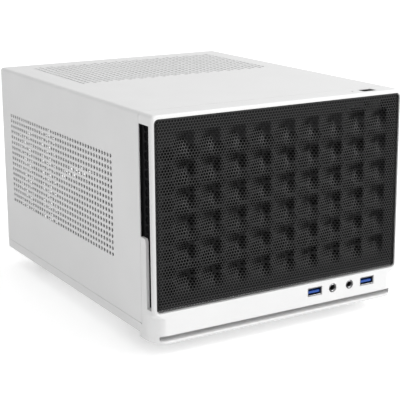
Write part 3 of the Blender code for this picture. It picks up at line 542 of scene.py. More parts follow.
def mesh_frame():
    """Black frame behind the mesh: honeycomb side walls, honeycomb grid and a fine dust filter, whose
    near-black cloth is also painted shade behind the mesh's holes.
    """
    low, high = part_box("mesh_frame")
    wall, rail, tuck = 0.0020, 0.0040, 0.0005
    sides = [((low.x, low.y, low.z), (low.x + wall, high.y, high.z)),
             ((high.x - wall, low.y, low.z), (high.x, high.y, high.z))]
    body = blocks("honeycomb_frame", sides, BLACK_PLASTIC)
    pockets = bmesh.new()
    for points in honeycomb_outlines(low.y + 0.0010, high.y - 0.0010, low.z + 0.004, high.z - 0.004, 0.0068,
                                     0.0011):
        add_prism(pockets, points, along_x, low.x - 0.001, low.x + 0.0012)
        add_prism(pockets, points, along_x, high.x - 0.0012, high.x + 0.001)
    carved(body, new_object("pockets", pockets))
    left, right = low.x + wall, high.x - wall
    rails = [((left - tuck, low.y, z0), (right + tuck, low.y + 0.0022, z1))
             for z0, z1 in ((low.z + 0.00005, low.z + rail), (high.z - rail, high.z - 0.00005))]
    carved(body, blocks("rails", rails), operation="UNION")
    fitted(smoothed(body), "black_plastic", "mesh_frame", body="front_panel")

    grid_y = (low.y + 0.0108, low.y + 0.0140)
    foot, notch, top = low.z - 0.0015, 0.1610, high.z - rail - GAP
    switch_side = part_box("indicator_lens")[0].x - 0.002
    outline = [(left + GAP, foot), (right - GAP, foot), (right - GAP, notch), (switch_side, notch),
               (switch_side, top), (left + GAP, top)]
    grid = prisms("filter_grid", [outline], along_y, *grid_y, BLACK_PLASTIC)
    cells = honeycomb_outlines(left + 0.003, right - 0.003, low.z + rail + 0.002, notch - 0.0005, 0.0125,
                               0.0016)
    carved(grid, prisms("cells", cells, along_y, grid_y[0] - 0.01, grid_y[1] + 0.01))
    # the cloth covers the grid up to the frame's top: a dust filter, and painted shade that hides the case's
    # inside behind the mesh
    cloth = prisms("dust_filter_and_shade", [outline], along_y, grid_y[1] + 0.0001, grid_y[1] + 0.0006, FILTER_CLOTH_SHADE)
    for piece in (smoothed(grid), cloth):
        fitted(piece, "black_plastic", body="front_panel")


# ---- front ports, button and light ---------------------------------------------------------------
CONTACT_STEPS = (-0.0036, -0.0012, 0.0012, 0.0036)


def usb_socket(node):
    """Metal shell with slots for its spring tabs, and a blue tongue with its contacts."""
    low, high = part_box(node)
    x, z = centre = middle(node, "xz")
    half_x, half_z = half_size(node, "xz")
    wall = 0.00060
    shell = prisms(node + "_shell", [rounded_rectangle(centre, half_x, half_z, 0.0006, 4)], along_y, low.y,
                   high.y, TIN)
    mouth = rounded_rectangle(centre, half_x - wall, half_z - wall, 0.0003, 3)
    tabs = bmesh.new()
    for side in (-1, 1):
        for step in (-0.0030, 0.0030):
            outline = rounded_rectangle((x + step, low.y + 0.0062), 0.0011, 0.0026, 0.0004, 3)
            face = z + side * (half_z - wall / 2)
            add_prism(tabs, outline, along_z, face - 0.001, face + 0.001)
    carved(shell, prisms("mouth", [mouth], along_y, low.y - 0.01, high.y - 0.0012), new_object("tabs", tabs))
    fitted(rounded(shell, 0.00012, 1), "bright_metal", node)

    z -= 0.0006
    tongue = ((x - 0.0055, low.y + 0.0012, z - 0.0009), (x + 0.0055, high.y - 0.0014, z + 0.0010))
    fitted(blocks(node + "_tongue", [tongue], BLUE_PLASTIC, 0.0002, 2), "bright_metal")
    strips = [((x + step - 0.0006, low.y + 0.0024, z - 0.00105),
               (x + step + 0.0006, low.y + 0.0100, z - 0.0008)) for step in CONTACT_STEPS]
    fitted(blocks(node + "_contacts", strips, GOLD), "bright_metal")


def audio_socket(node):
    """Tin-plated ring with a rounded lip, black insert with a bore, and a contact ring inside."""
    low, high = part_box(node)
    x, z = middle(node, "xz")
    radius, bore, depth = half_size(node)[0], 0.0016, high.y - low.y
    edge = radius - 0.0001
    ring = [(0.0020, 0.0060), (0.0020, 0.0007), (0.0022, 0.0003), (0.0026, 0), (edge, 0.0004),
            (radius, 0.0008), (radius, 0.0060)]
    insert = [(bore, 0.0120), (bore, 0.0012), (bore + 0.0002, 0.0009), (0.00195, 0.0009), (0.00195, 0.0064),
              (edge, 0.0066), (edge, depth)]
    contact = [(0.0013, 0.0062), (0.0013, 0.0052), (bore + 0.0001, 0.0052), (bore + 0.0001, 0.0062)]
    for part, profile, surface, count, nodes in (("_ring", ring, TIN, 40, [node]),
                                                 ("_insert", insert, BLACK_PLASTIC, 32, []),
                                                 ("_contact", contact, GOLD, 24, [])):
        piece = turned(node + part, profile, (x, low.y, z), along_y, surface, count)
        fitted(piece, "bright_metal", *nodes)


def power_button():
    """Black cap with a shallow dish, a retaining flange and a stem."""
    low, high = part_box("power_button")
    centre, stem = middle("power_button", "xy"), 0.0015
    half_x, half_y = (half - BUTTON_LIP for half in half_size("power_button", "xy"))
    levels = []
    for inset, z in ((0, -0.0052), (0, -0.0004), (0.00012, -0.00015), (0.0004, 0), (0.0009, -0.00015),
                     (0.0022, -0.0006), (0.0034, -0.0008)):
        corner = max(0.0007 - inset / 2, 0.0002)
        levels.append((high.z + z, rounded_rectangle(centre, half_x - inset, half_y - inset, corner, 4)))
    cap = lofted("button_cap", levels, BLACK_SATIN)
    flange = ((low.x, low.y, low.z + 0.0060), (high.x, high.y, high.z - 0.0039))
    carved(cap, blocks("flange", [flange], None, 0.0002),
           bar("stem", centre, (stem, stem), along_z, (low.z, high.z - 0.0045), None, 0.0002),
           operation="UNION")
    fitted(smoothed(cap), "black_plastic", "power_button", body="power_button")


def indicator_and_switch():
    low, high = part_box("indicator_lens")
    height = high.z - low.z
    profile = [(0.0020, 0), (0.0020, height - 0.0040), (LENS_RADIUS, height - 0.0040),
               (LENS_RADIUS, height - 0.0004), (LENS_RADIUS * 0.8, height - 0.0001),
               (LENS_RADIUS * 0.3, height)]
    lens = turned("indicator", profile, (*middle("indicator_lens", "xy"), low.z), along_z, LENS, 24)
    fitted(lens, "lens", "indicator_lens", body="front_panel")

    low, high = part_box("power_switch")
    centre = (middle("power_switch")[0], middle("power_button")[1])
    case_foot, case_half = high.z - 0.0022, 0.0031
    arm = ((low.x, low.y, low.z), (high.x, high.y, case_foot))
    fitted(blocks("switch_arm", [arm], BLACK_PLASTIC, 0.0004, 2), "black_plastic", "power_switch")
    case = bar("switch_case", centre, (case_half, case_half), along_z, (case_foot + 0.00005, high.z - 0.0008),
               BLACK_PLASTIC, 0.0003, 2)
    fitted(case, "black_plastic")
    plunger = turned("switch_plunger", [(0.0016, -0.0008), (0.0016, -0.0002), (0.0013, 0)],
                     (*centre, high.z), along_z, BLACK_PLASTIC, 24)
    fitted(plunger, "black_plastic")


# ---- cover ---------------------------------------------------------------------------------------
class Sheet:
    """Thin surface gathered from flat polygons, which share vertices where their points coincide."""

    def __init__(self, place):
        self.place, self.verts, self.faces, self.index = place, [], [], {}

    def vertex(self, a, b):
        point = self.place(a, b)
        key = tuple(round(value * 1e6) for value in point)
        if key not in self.index:
            self.index[key] = len(self.verts)
            self.verts.append(tuple(point))
        return self.index[key]

    def polygon(self, points):
        self.faces.append([self.vertex(a, b) for a, b in points])

    def holed(self, outline, centre, radius, count=16):
        """Cell with a round hole; outline starts at the low corner, with the high corner half way round."""
        ring = circle(centre, radius, count, math.radians(225))
        half, turn = len(outline) // 2, count // 2
        self.polygon(outline[:half + 1] + ring[:turn + 1][::-1])
        self.polygon(outline[half:] + outline[:1] + [ring[0]] + ring[turn:][::-1])

    def vent(self, area, first, counts, pitches, radius, staggered=False):
        """Fills the rectangle area ((a0, a1), (b0, b1)) with plain sheet around a block of round holes."""
        (a0, a1), (b0, b1) = area
        step_a, step_b = pitches
        block_a, block_b = first[0] - step_a / 2, first[1] - step_b / 2
        shift = step_a / 2 if staggered else 0
        end_a = block_a + counts[0] * step_a + shift
        end_b = block_b + counts[1] * step_b
        parts = 2 if staggered else 1
        marks = [block_a + i * step_a / parts for i in range((counts[0] + 1) * parts)]
        for row in range(counts[1]):
            low, high = block_b + row * step_b, block_b + (row + 1) * step_b
            offset = shift if row % 2 else 0
            for column in range(counts[0]):
                left = block_a + column * step_a + offset
                centre, right = left + step_a / 2, left + step_a
                columns = (left, centre, right) if staggered else (left, right)
                outline = [(a, low) for a in columns] + [(a, high) for a in reversed(columns)]
                self.holed(outline, (centre, (low + high) / 2), radius)
            if staggered:
                edge = block_a if offset else end_a - shift
                self.polygon([(edge, low), (edge + shift, low), (edge + shift, high), (edge, high)])
        lines = [block_b + row * step_b for row in range(counts[1] + 1)]
        below = [(a, block_b) for a in reversed(marks)]
        above = [(a, end_b) for a in marks]
        self.polygon([(a0, b0), (a1, b0), (a1, block_b), *below, (a0, block_b)])
        self.polygon([(a0, end_b), *above, (a1, end_b), (a1, b1), (a0, b1)])
        self.polygon([(a0, block_b)] + [(block_a, b) for b in lines] + [(a0, end_b)])
        self.polygon([(a1, end_b)] + [(end_a, b) for b in reversed(lines)] + [(a1, block_b)])


# first hole, counts and pitches run rearward, then up the sides or across the top
SIDE_VENT = {"first": (FRONT + 0.0664, 0.0644), "counts": (42, 17), "pitches": (0.00483, 0.00478),
             "radius": 0.00165}
TOP_VENT = {"first": (FRONT + 0.1620, -0.0877), "counts": (17, 34), "pitches": (0.00618, 0.00535),
            "radius": 0.0020, "staggered": True}


def cover_shell(low, high):
    """Folded and perforated sheet: left side, top and right side, with rounded long edges."""
    half, straight_x, straight_z = high.x, high.x - BEND, high.z - BEND
    front, rear = span = (low.y, high.y)
    sheet = Sheet(lambda a, b: Vector((-half, a, b)))
    sheet.vent((span, (low.z, straight_z)), **SIDE_VENT)
    sheet.place = lambda a, b: Vector((half, a, b))
    sheet.vent((span, (low.z, straight_z)), **SIDE_VENT)
    sheet.place = lambda a, b: Vector((b, a, high.z))
    sheet.vent((span, (-straight_x, straight_x)), **TOP_VENT)
    steps = 8
    angles = [math.pi / 2 * i / steps for i in range(steps + 1)]
    for sign in (-1, 1):
        sheet.place = lambda a, b: Vector((sign * (straight_x + BEND * math.cos(b)), a,
                                           straight_z + BEND * math.sin(b)))
        for one, two in zip(angles, angles[1:]):
            sheet.polygon([(front, one), (rear, one), (rear, two), (front, two)])
    mesh = bmesh.new()
    verts = [mesh.verts.new(vert) for vert in sheet.verts]
    for face in sheet.faces:
        mesh.faces.new([verts[i] for i in face])
    bmesh.ops.recalc_face_normals(mesh, faces=mesh.faces)
    if max(mesh.faces, key=lambda face: face.calc_center_median().z).normal.z < 0:
        bmesh.ops.reverse_faces(mesh, faces=mesh.faces)
    data = bpy.data.meshes.new("cover_shell")
    mesh.to_mesh(data)
    mesh.free()
    shell = thickened(linked("cover_shell", data, WHITE_STEEL), SHEET, -1)
    fitted(smoothed(shell, 40), "white_steel", "top_cover", body="cover")


def cover_return(low, high):
    """Band folded in along the cover's rear edges, with a tab for each thumbscrew."""
    half, reach, inside, tab = high.x, 0.0078, SHEET + 0.00005, 0.0065
    y = (high.y - SHEET, high.y)
    outer = [(half - inside, low.z), (half - inside, high.z - BEND), (half - BEND, high.z - inside)]
    inner = [(half - reach, low.z), (half - reach, high.z - reach)]
    band = outer + [(-x, z) for x, z in reversed(outer)] + [(-x, z) for x, z in inner] + list(reversed(inner))
    rear = prisms("cover_return", [band], along_y, *y, WHITE_STEEL)
    screws = [middle("thumbscrew_" + side, "xz") for side in ("right", "left", "top")]
    tabs = prisms("tabs", [rounded_rectangle(screw, tab, tab, 0.0025) for screw in screws], along_y,
                  y[0] + 0.00004, y[1] - 0.00004)
    holes = prisms("holes", [circle(screw, 0.0019, 24) for screw in screws], along_y, y[0] - 0.01,
                   y[1] + 0.01)
    carved(tabs, blocks("trim", [((-0.2, -1, high.z - inside), (0.2, 1, 0.3))]))
    carved(rear, tabs, operation="UNION")
    carved(rear, holes)
    fitted(smoothed(rear), "white_steel", body="cover")


# ---- pieces made from CAD shapes -----------------------------------------------------------------
def copied(node, surface):
    """New object with a CAD node's shape, its flat faces made whole again."""
    mesh = bmesh.new()
    mesh.from_mesh(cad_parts[node].data)
    bmesh.ops.remove_doubles(mesh, verts=mesh.verts, dist=1e-6)
    bmesh.ops.dissolve_limit(mesh, angle_limit=math.radians(1), verts=mesh.verts, edges=mesh.edges)
    return new_object(node + "_look", mesh, surface)


def detailed(node, slot, surface, *cuts, edge=0.0003, segments=2):
    """A CAD shape with openings cut in it and its edges rounded, in place of its node."""
    piece = copied(node, surface)
    if cuts:
        carved(piece, *cuts)
    return fitted(rounded(piece, edge, segments), slot, node)


def perforated(node, slot, surface, outlines, place, ends, edge=0.0002, segments=1):
    """A CAD shape with the outlines cut in it between two planes, in place of its node."""
    openings = prisms("openings", outlines, place, *ends)
    return detailed(node, slot, surface, openings, edge=edge, segments=segments)


def hole_centres(centre, counts, pitches, staggered=True):
    found = []
    for j in range(counts[1]):
        for i in range(counts[0]):
            a = centre[0] + (i - (counts[0] - 1) / 2) * pitches[0]
            if staggered:
                a += pitches[0] * (0.25 if j % 2 else -0.25)
            found.append((a, centre[1] + (j - (counts[1] - 1) / 2) * pitches[1]))
    return found


def hole_grid(centre, counts, pitches, radius, sides=12, staggered=True):
    """Outlines of round or many-sided holes in a staggered or square block."""
    spots = hole_centres(centre, counts, pitches, staggered)
    return [circle(spot, radius, sides, math.pi / 6) for spot in spots]


def cross_head(name, radius, height, centre, place, sign):
    """Pan-head screw with a cross recess; its head rises along sign from centre."""
    profile = [(radius, 0), (radius, height * 0.35), (radius * 0.86, height * 0.75), (radius * 0.5, height)]
    head = turned(name, [(r, sign * h) for r, h in profile], centre, place, NICKEL, 24)
    reach, half = radius * 0.55, radius * 0.13
    quarter = [(reach, -half), (reach, half), (half, half)]
    cross = []
    for _ in range(4):
        cross += quarter
        quarter = [(-b, a) for a, b in quarter]
    ends = sorted((sign * height * 0.3, sign * height * 1.5))
    carved(head, prisms("recess", [cross], lambda a, b, h: Vector(place(a, b, h)) + Vector(centre), *ends))
    return fitted(smoothed(head), "bright_metal")


# ---- case ----------------------------------------------------------------------------------------
def base_pan():
    """Pan with rows of air slots, and screws in its corners."""
    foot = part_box("base_pan")[0].z
    slots = [rounded_rectangle((x, y), 0.0115, 0.0021, 0.0020) for x in (-0.045, -0.015, 0.015, 0.045)
             for y in (-0.070, -0.058, -0.046, 0.030, 0.042, 0.054, 0.066)]
    perforated("base_pan", "white_steel", WHITE_STEEL, slots, along_z, (foot - 0.005, foot + 0.004),
               0.0004, 2)
    for side, x in (("left", -0.104), ("right", 0.104)):
        for end, y in (("front", -0.104), ("rear", 0.126)):
            cross_head(f"base_screw_{side}_{end}", 0.0030, 0.0011, (x, y, foot), along_z, -1)


def feet():
    """Rubber feet with a raised wall, a chamfered sole, grip rings and a screw in a deep recess."""
    for name in ("foot_front_left", "foot_front_right", "foot_rear_left", "foot_rear_right"):
        low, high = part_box(name)
        centre, height, radius = middle(name, "xy"), high.z - low.z, half_size(name)[0]
        profile = [(0.0032, 0.0060), (0.0034, 0.0008), (0.0038, 0.0003), (0.0052, 0.0003), (0.0055, 0.0011),
                   (0.0062, 0.0011), (0.0065, 0), (0.0078, 0), (0.0081, 0.0009), (0.0088, 0.0009),
                   (0.0091, 0), (0.0100, 0.0001), (0.0106, 0.0006), (0.0109, 0.0014),
                   (radius - 0.0003, height - 0.0034), (radius, height - 0.0030),
                   (radius, height - 0.0004), (radius - 0.0004, height)]
        fitted(turned(name + "_rubber", profile, (*centre, low.z), along_z, RUBBER, 48), "rubber", name)
        cross_head(name + "_screw", 0.0028, 0.0018, (*centre, low.z + 0.0062), along_z, -1)


def front_wall():
    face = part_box("front_wall")[0].y
    slots = [rounded_rectangle((x, z), 0.0120, 0.0028, 0.0026) for x in (-0.083, 0.083)
             for z in (0.045, 0.065, 0.085, 0.105, 0.125, 0.145, 0.165)]
    # the wall is painted black: its paint, and painted shade behind the front mesh
    perforated("front_wall", "black_steel", BLACK_STEEL_SHADE, slots, along_y, (face - 0.005, face + 0.004),
               0.0003, 2)


def rear_panel():
    """Rear sheet with two blocks of vent holes, and rivets along its edges."""
    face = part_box("rear_panel")[1].y
    holes = []
    for centre, counts in (((0.018, 0.0776), (27, 2)), ((-0.078, 0.1500), (6, 6))):
        holes += hole_grid(centre, counts, (0.0055, 0.0048), 0.0020)
    perforated("rear_panel", "white_steel", WHITE_STEEL, holes, along_y, (face - 0.004, face + 0.004))
    rivets = bmesh.new()
    for x, z in ((-0.0995, 0.040), (-0.0995, 0.115), (0.1000, 0.040), (0.1000, 0.110), (0.1000, 0.160),
                 (-0.058, 0.083), (-0.045, 0.1745), (0.055, 0.1745)):
        profile = [(0.0021, 0), (0.0021, 0.0002), (0.0016, 0.00055), (0.0008, 0.0007)]
        add_turned(rivets, profile, (x, face, z), along_y, 20)
    gathered("rear_rivets", rivets, ZINC)


def rails():
    """Top rails with long slots, a little off their middle line."""
    for side, aside in (("left", 0.0006), ("right", -0.0006)):
        node, count = "top_rail_" + side, 6
        low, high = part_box(node)
        slots = [rounded_rectangle((middle(node)[0] + aside, low.y + (i + 0.5) * (high.y - low.y) / count),
                                   0.0016, 0.0070, 0.0015) for i in range(count)]
        perforated(node, "white_steel", WHITE_STEEL, slots, along_z, (high.z - 0.004, high.z + 0.004),
                   0.0002, 2)


def thumbscrews():
    """Knurled heads with a cross recess, on plain shafts."""
    teeth, notch = 36, 0.00030
    for side in ("right", "left", "top"):
        node = "thumbscrew_" + side
        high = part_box(node)[1]
        x, z = Vector(middle(node, "xz"))
        radius, head = half_size(node)[0], high.y - 0.0047
        knurl = []
        for i in range(teeth * 2):
            reach = radius - (notch if i % 2 else 0)
            angle = math.pi * i / teeth
            knurl.append((x + reach * math.cos(angle), z + reach * math.sin(angle)))
        screw = prisms(node + "_head", [knurl], along_y, head + 0.0006, high.y - 0.0005, NICKEL)
        rim = [(0.0015, -0.0090), (0.0015, 0.0002), (radius - 0.0006, 0.0003), (radius - 0.0003, 0.0007),
               (radius - 0.0003, 0.0040), (radius - 0.0008, 0.0046), (radius * 0.45, 0.0047)]
        carved(screw, turned("core", rim, (x, head, z), along_y, None, 40), operation="UNION")
        carved(screw, bar("recess", (x, z), (0.0026, 0.0005), along_y, (high.y - 0.0016, high.y + 0.001)),
               bar("cross", (x, z), (0.0005, 0.0026), along_y, (high.y - 0.0015, high.y + 0.002)))
        fitted(smoothed(screw, 25), "bright_metal", node, body=node)


def slot_covers():
    for node in ("slot_cover_1", "slot_cover_2"):
        low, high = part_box(node)
        x = middle(node)[0]
        holes = hole_grid((x, 0.0755), (4, 24), (0.0034, 0.0038), 0.0012, 8, False)
        perforated(node, "bright_metal", ZINC, holes, along_y, (low.y - 0.003, high.y + 0.003))
        cross_head(node + "_screw", 0.0031, 0.0022, (x, high.y - 0.0052, high.z), along_z, 1)


def drive():
    """Drive bracket with its slots and screws, and the drive with its seams, screw holes and socket."""
    low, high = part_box("drive_bracket")
    slots = [rounded_rectangle((x, y), 0.0140, 0.0032, 0.003) for x in (-0.074, 0.074)
             for y in (-0.078, -0.064, -0.050, -0.036, -0.022)]
    perforated("drive_bracket", "white_steel", WHITE_STEEL, slots, along_z, (low.z - 0.004, low.z + 0.004),
               0.0004, 2)
    for i, x in enumerate((-0.1015, 0.1015)):
        for j, y in enumerate((low.y + 0.010, high.y - 0.010)):
            cross_head(f"bracket_screw_{i}_{j}", 0.0028, 0.0018, (x, y, high.z), along_z, 1)

    low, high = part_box("solid_state_drive")
    cuts = bmesh.new()
    seam = middle("solid_state_drive")[2]
    for x in (low.x, high.x):
        add_block(cuts, (x - 0.0002, low.y + 0.002, seam + 0.0012),
                  (x + 0.0002, high.y - 0.002, seam + 0.0015))
        for y in (low.y + 0.0140, high.y - 0.0140):
            add_prism(cuts, circle((y, low.z + 0.0030), 0.0013, 16), along_x, x - 0.002, x + 0.002)
    add_prism(cuts, rounded_rectangle((0, (low.y + high.y) / 2), 0.040, 0.026, 0.002), along_z,
              high.z - 0.00025, high.z + 0.002)
    bay = ((low.x - 0.001, low.y + 0.008, low.z + 0.0014), (low.x + 0.0050, low.y + 0.044, low.z + 0.0052))
    detailed("solid_state_drive", "aluminium", ALUMINIUM, new_object("cuts", cuts), blocks("bay", [bay]),
             edge=0.0006)
    tongue = ((low.x + 0.0008, low.y + 0.010, low.z + 0.0029),
              (low.x + 0.0055, low.y + 0.042, low.z + 0.0039))
    fitted(blocks("drive_connector", [tongue], BLACK_PLASTIC, 0.0002), "black_plastic")


# ---- fans ----------------------------------------------------------------------------------------
FAN_HOLES = {0.120: 0.0525, 0.092: 0.04125}     # screw holes' distance from the middle, by fan size
FLANGE = 0.0034
STRUT = 0.0022


def fan_frame(prefix, place, size, thickness, hub):
    """Frame with round barrel, corner flanges, struts and motor."""
    half, spacing, origin = size / 2, FAN_HOLES[size], (0, 0, 0)
    outline = rounded_rectangle((0, 0), half, half, 0.0045, 6)
    housing = prisms(prefix + "_housing", [outline], place, 0, FLANGE, BLACK_PLASTIC)
    barrel = circle((0, 0), half - 0.0003, 72)
    carved(housing, prisms("upper", [outline], place, thickness - FLANGE, thickness),
           prisms("barrel", [barrel], place, 0.0002, thickness - 0.0002), operation="UNION")
    duct = [(half - 0.0010, -0.001), (half - 0.0010, 0.0002), (half - 0.0024, 0.0022),
            (half - 0.0025, 0.0024), (half - 0.0025, thickness - 0.0015), (half - 0.0012, thickness + 0.001)]
    holes = [circle((a, b), 0.00215, 20) for a in (-spacing, spacing) for b in (-spacing, spacing)]
    carved(housing, turned("duct", duct, origin, place, None, 72),
           prisms("screw_holes", holes, place, -0.01, thickness + 0.01))

    motor = [(hub - 0.0008, thickness - STRUT), (hub, thickness - STRUT + 0.0006), (hub, thickness - 0.0006),
             (hub - 0.0006, thickness - 0.00005)]
    struts, lean = [], math.radians(9)
    for index in range(4):
        turn = math.radians(45 + 90 * index)
        along = Vector((math.cos(turn + lean), math.sin(turn + lean)))
        aside = Vector((-along.y, along.x)) * 0.0017
        start = Vector((math.cos(turn), math.sin(turn))) * (hub - 0.002)
        end = start + along * (half - hub + 0.0016)
        struts.append([start - aside, end - aside, end + aside, start + aside])
    carved(housing, turned("motor", motor, origin, place, None, 48),
           prisms("struts", struts, place, thickness - STRUT + 0.0001, thickness - 0.0002), operation="UNION")
    fitted(rounded(housing, 0.0003, 1), "black_plastic", prefix + "_frame")


def fan_rotor(prefix, place, size, thickness, hub, blades):
    """Hub and curved blades, each blade skinned over rings of points from the hub to its tip."""
    node, tip, skin, stations, chord = prefix + "_rotor", size / 2 - 0.0036, 0.0008, 9, 10
    low, high = 0.0010, thickness - STRUT - 0.0008
    profile = [(hub * 0.35, low + 0.0006), (hub * 0.38, low + 0.0001), (hub * 0.80, low),
               (hub - 0.0012, low + 0.0003), (hub - 0.0003, low + 0.0012), (hub, low + 0.0030), (hub, high)]
    core = smoothed(turned(prefix + "_hub", profile, (0, 0, 0), place, BLACK_PLASTIC, 56))
    mesh = bmesh.new()
    for index in range(blades):
        rings = []
        for station in range(stations):
            share = station / (stations - 1)
            radius = hub - 0.0012 + (tip - hub + 0.0012) * share
            width = (0.86 + 0.30 * share - 0.22 * share * share) * math.pi / blades * 1.02
            start = 2 * math.pi * index / blades + 0.30 * share * share
            ring = []
            for face in (-1, 1):
                for step in range(chord + 1)[::-face]:
                    t = step / chord
                    angle = start + (t - 0.5) * 1.55 * width
                    rise = (1 - t) + 0.10 * math.sin(math.pi * t) * 0.6
                    thick = skin * (0.35 + 0.65 * math.sin(math.pi * min(max(t, 0.06), 0.94)))
                    height = low + 0.0018 + (high - low - 0.0030) * rise + (thick / 2) * face
                    height = min(max(height, low + 0.0001), high - 0.0001)
                    point = place(radius * math.cos(angle), radius * math.sin(angle), height)
                    ring.append(mesh.verts.new(point))
            rings.append(ring)
        add_skin(mesh, rings)
    vanes = smoothed(new_object(prefix + "_blades", mesh, BLACK_PLASTIC), 50)
    fitted(core, "black_plastic", node, body=node)
    fitted(vanes, "black_plastic", body=node)


def fans():
    """Each fan is built from its air side, at height 0, towards its struts."""
    for prefix, size, thickness, hub, blades in (("front_fan", 0.120, 0.025, 0.021, 9),
                                                 ("psu_fan", 0.120, 0.025, 0.020, 7),
                                                 ("cooler_fan", 0.092, 0.015, 0.0175, 9)):
        low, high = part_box(prefix + "_frame")
        x, y, z = middle(prefix + "_frame")

        def upright(a, b, height):
            return Vector((x + a, low.y + height, z + b))

        def lying(a, b, height):
            return Vector((x + a, y + b, high.z - height))

        place = upright if prefix == "front_fan" else lying
        fan_frame(prefix, place, size, thickness, hub)
        fan_rotor(prefix, place, size, thickness, hub, blades)


# ---- power supply --------------------------------------------------------------------------------
def around(count):
    return [2 * math.pi * i / count for i in range(count)]


def wire_ring(mesh, centre, ring_radius, wire):
    rings = []
    for angle in around(72):
        out = Vector((math.cos(angle), math.sin(angle), 0))
        spot = Vector(centre) + out * ring_radius
        rings.append([mesh.verts.new(spot + out * wire * math.cos(t) + Vector((0, 0, wire * math.sin(t))))
                      for t in around(8)])
    add_skin(mesh, rings + rings[:1], capped=False)


def wire_bar(mesh, start, end, wire):
    start, end = Vector(start), Vector(end)
    along = (end - start).normalized()
    aside = along.cross(Vector((0, 0, 1))).normalized()
    upward = aside.cross(along)
    add_skin(mesh, [[mesh.verts.new(point + wire * (math.cos(t) * aside + math.sin(t) * upward))
                     for t in around(8)] for point in (start, end)])


def power_supply():
    """Housing with hexagonal holes, a wire guard over its fan, and the inlet's pins."""
    low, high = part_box("psu_housing")
    edge, clear_x, clear_z = 0.010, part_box("psu_switch")[1].x + 0.006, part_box("psu_inlet")[1].z + 0.007
    holes = [circle((x, z), 0.0027, 6, math.pi / 6)
             for x, z in hole_centres((middle("psu_housing")[0], 0.134), (22, 12), (0.0062, 0.00537))
             if low.x + edge < x < high.x - edge and 0.101 < z < 0.166 and (x > clear_x or z > clear_z)]
    perforated("psu_housing", "bright_metal", ZINC, holes, along_y, (high.y - 0.004, high.y + 0.004))
    for i, x in enumerate((low.x + 0.0065, high.x - 0.0065)):
        for j, z in enumerate((low.z + 0.0085, high.z - 0.0085)):
            cross_head(f"psu_screw_{i}_{j}", 0.0032, 0.0010, (x, high.y, z), along_y, 1)

    x, y, height = middle("psu_fan_guard")
    guard, wire = bmesh.new(), 0.0007
    for radius in (0.0120, 0.0230, 0.0340, 0.0450, 0.0560):
        wire_ring(guard, (x, y, height), radius, wire)
    for index in range(4):
        turn = math.radians(45 + 90 * index)
        ends = [(x + r * math.cos(turn), y + r * math.sin(turn), height) for r in (0.0115, 0.0565)]
        wire_bar(guard, *ends, wire)
    fitted(smoothed(new_object("guard_wires", guard, NICKEL)), "bright_metal", "psu_fan_guard")

    x, z = middle("psu_inlet", "xz")
    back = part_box("psu_inlet")[1].y
    detailed("psu_inlet", "black_plastic", BLACK_PLASTIC, edge=0.0004)
    pins = [rounded_rectangle(spot, 0.0010, 0.0020, 0.0005, 3)
            for spot in ((x - 0.0070, z - 0.0022), (x + 0.0070, z - 0.0022), (x, z + 0.0028))]
    pins = prisms("inlet_pins", pins, along_y, back - 0.0165, back - 0.0030, BRASS)
    fitted(rounded(pins, 0.0003, 2), "bright_metal")
    fitted(rounded(copied("psu_switch", BLACK_PLASTIC), 0.0006, 3), "black_plastic", "psu_switch",
           body="psu_switch")


# ---- mainboard -----------------------------------------------------------------------------------
def rear_sockets():
    """Shield with vent holes, and the stacks' tongues, contacts, coloured rings and lights."""
    low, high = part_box("io_shield")
    holes = hole_grid((0.070, 0.045), (9, 6), (0.0056, 0.0050), 0.0019, 10)
    perforated("io_shield", "bright_metal", ZINC, holes, along_y, (low.y - 0.002, high.y + 0.002), 0.0001)
    for node in ("audio_stack", "network_stack", "usb_stack", "display_stack"):
        detailed(node, "bright_metal", NICKEL, edge=0.00015, segments=1)

    face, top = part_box("usb_stack")[1].y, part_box("motherboard")[1].z + 0.0003
    tongue_ends = (face - 0.0110, face - 0.0018)
    tongues, contacts = bmesh.new(), bmesh.new()
    for node, count, first in (("network_stack", 2, 0.0042), ("usb_stack", 4, 0.0044)):
        x = middle(node)[0]
        for i in range(count):
            z = top + (first + i * 0.0069) + 0.0008
            add_bar(tongues, (x, z), (0.0054, 0.00105), along_y, tongue_ends, 0.0002)
            for step in CONTACT_STEPS:
                add_block(contacts, (x + step - 0.0006, face - 0.0100, z - 0.0012),
                          (x + step + 0.0006, face - 0.0026, z - 0.0009))
    gathered("rear_usb_tongues", tongues, BLUE_PLASTIC)
    network_x = middle("network_stack")[0]
    for i in range(8):
        pin = network_x + (i - 3.5) * 0.00102
        add_block(contacts, (pin - 0.00022, face - 0.0110, 0.0505), (pin + 0.00022, face - 0.0030, 0.0512))
    fitted(new_object("rear_contacts", contacts, GOLD), "bright_metal")

    tongues = bmesh.new()
    x = middle("display_stack")[0]
    for i in range(2):
        z = top + 0.0064 + i * 0.0110 + 0.0008
        add_bar(tongues, (x, z), (0.0066, 0.00095), along_y, tongue_ends, 0.0002)
    gathered("display_tongues", tongues, BLACK_PLASTIC, "black_plastic")

    x = middle("audio_stack")[0]
    profile = [(0.0019, -0.0040), (0.0019, -0.0003), (0.0023, 0), (0.0038, 0), (0.0042, -0.0003),
               (0.0042, -0.0008)]
    colours = (("rose", ROSE_PLASTIC), ("lime", LIME_PLASTIC), ("sky", SKY_PLASTIC))
    for i, (name, surface) in enumerate(colours):
        centre = (x, face + 0.0001, top + 0.0060 + i * 0.0107)
        fitted(turned(f"audio_ring_{name}", profile, centre, along_y, surface, 32), "bright_metal")
    for side, aside, surface in (("left", -0.0056, LIME_PLASTIC), ("right", 0.0056, AMBER_PLASTIC)):
        lamp = bar("network_light_" + side, (network_x + aside, 0.0533), (0.0013, 0.0006), along_y,
                   (face - 0.0008, face + 0.0001), surface, 0.0001)
        fitted(lamp, "bright_metal")


CHIP_LEGS = 10
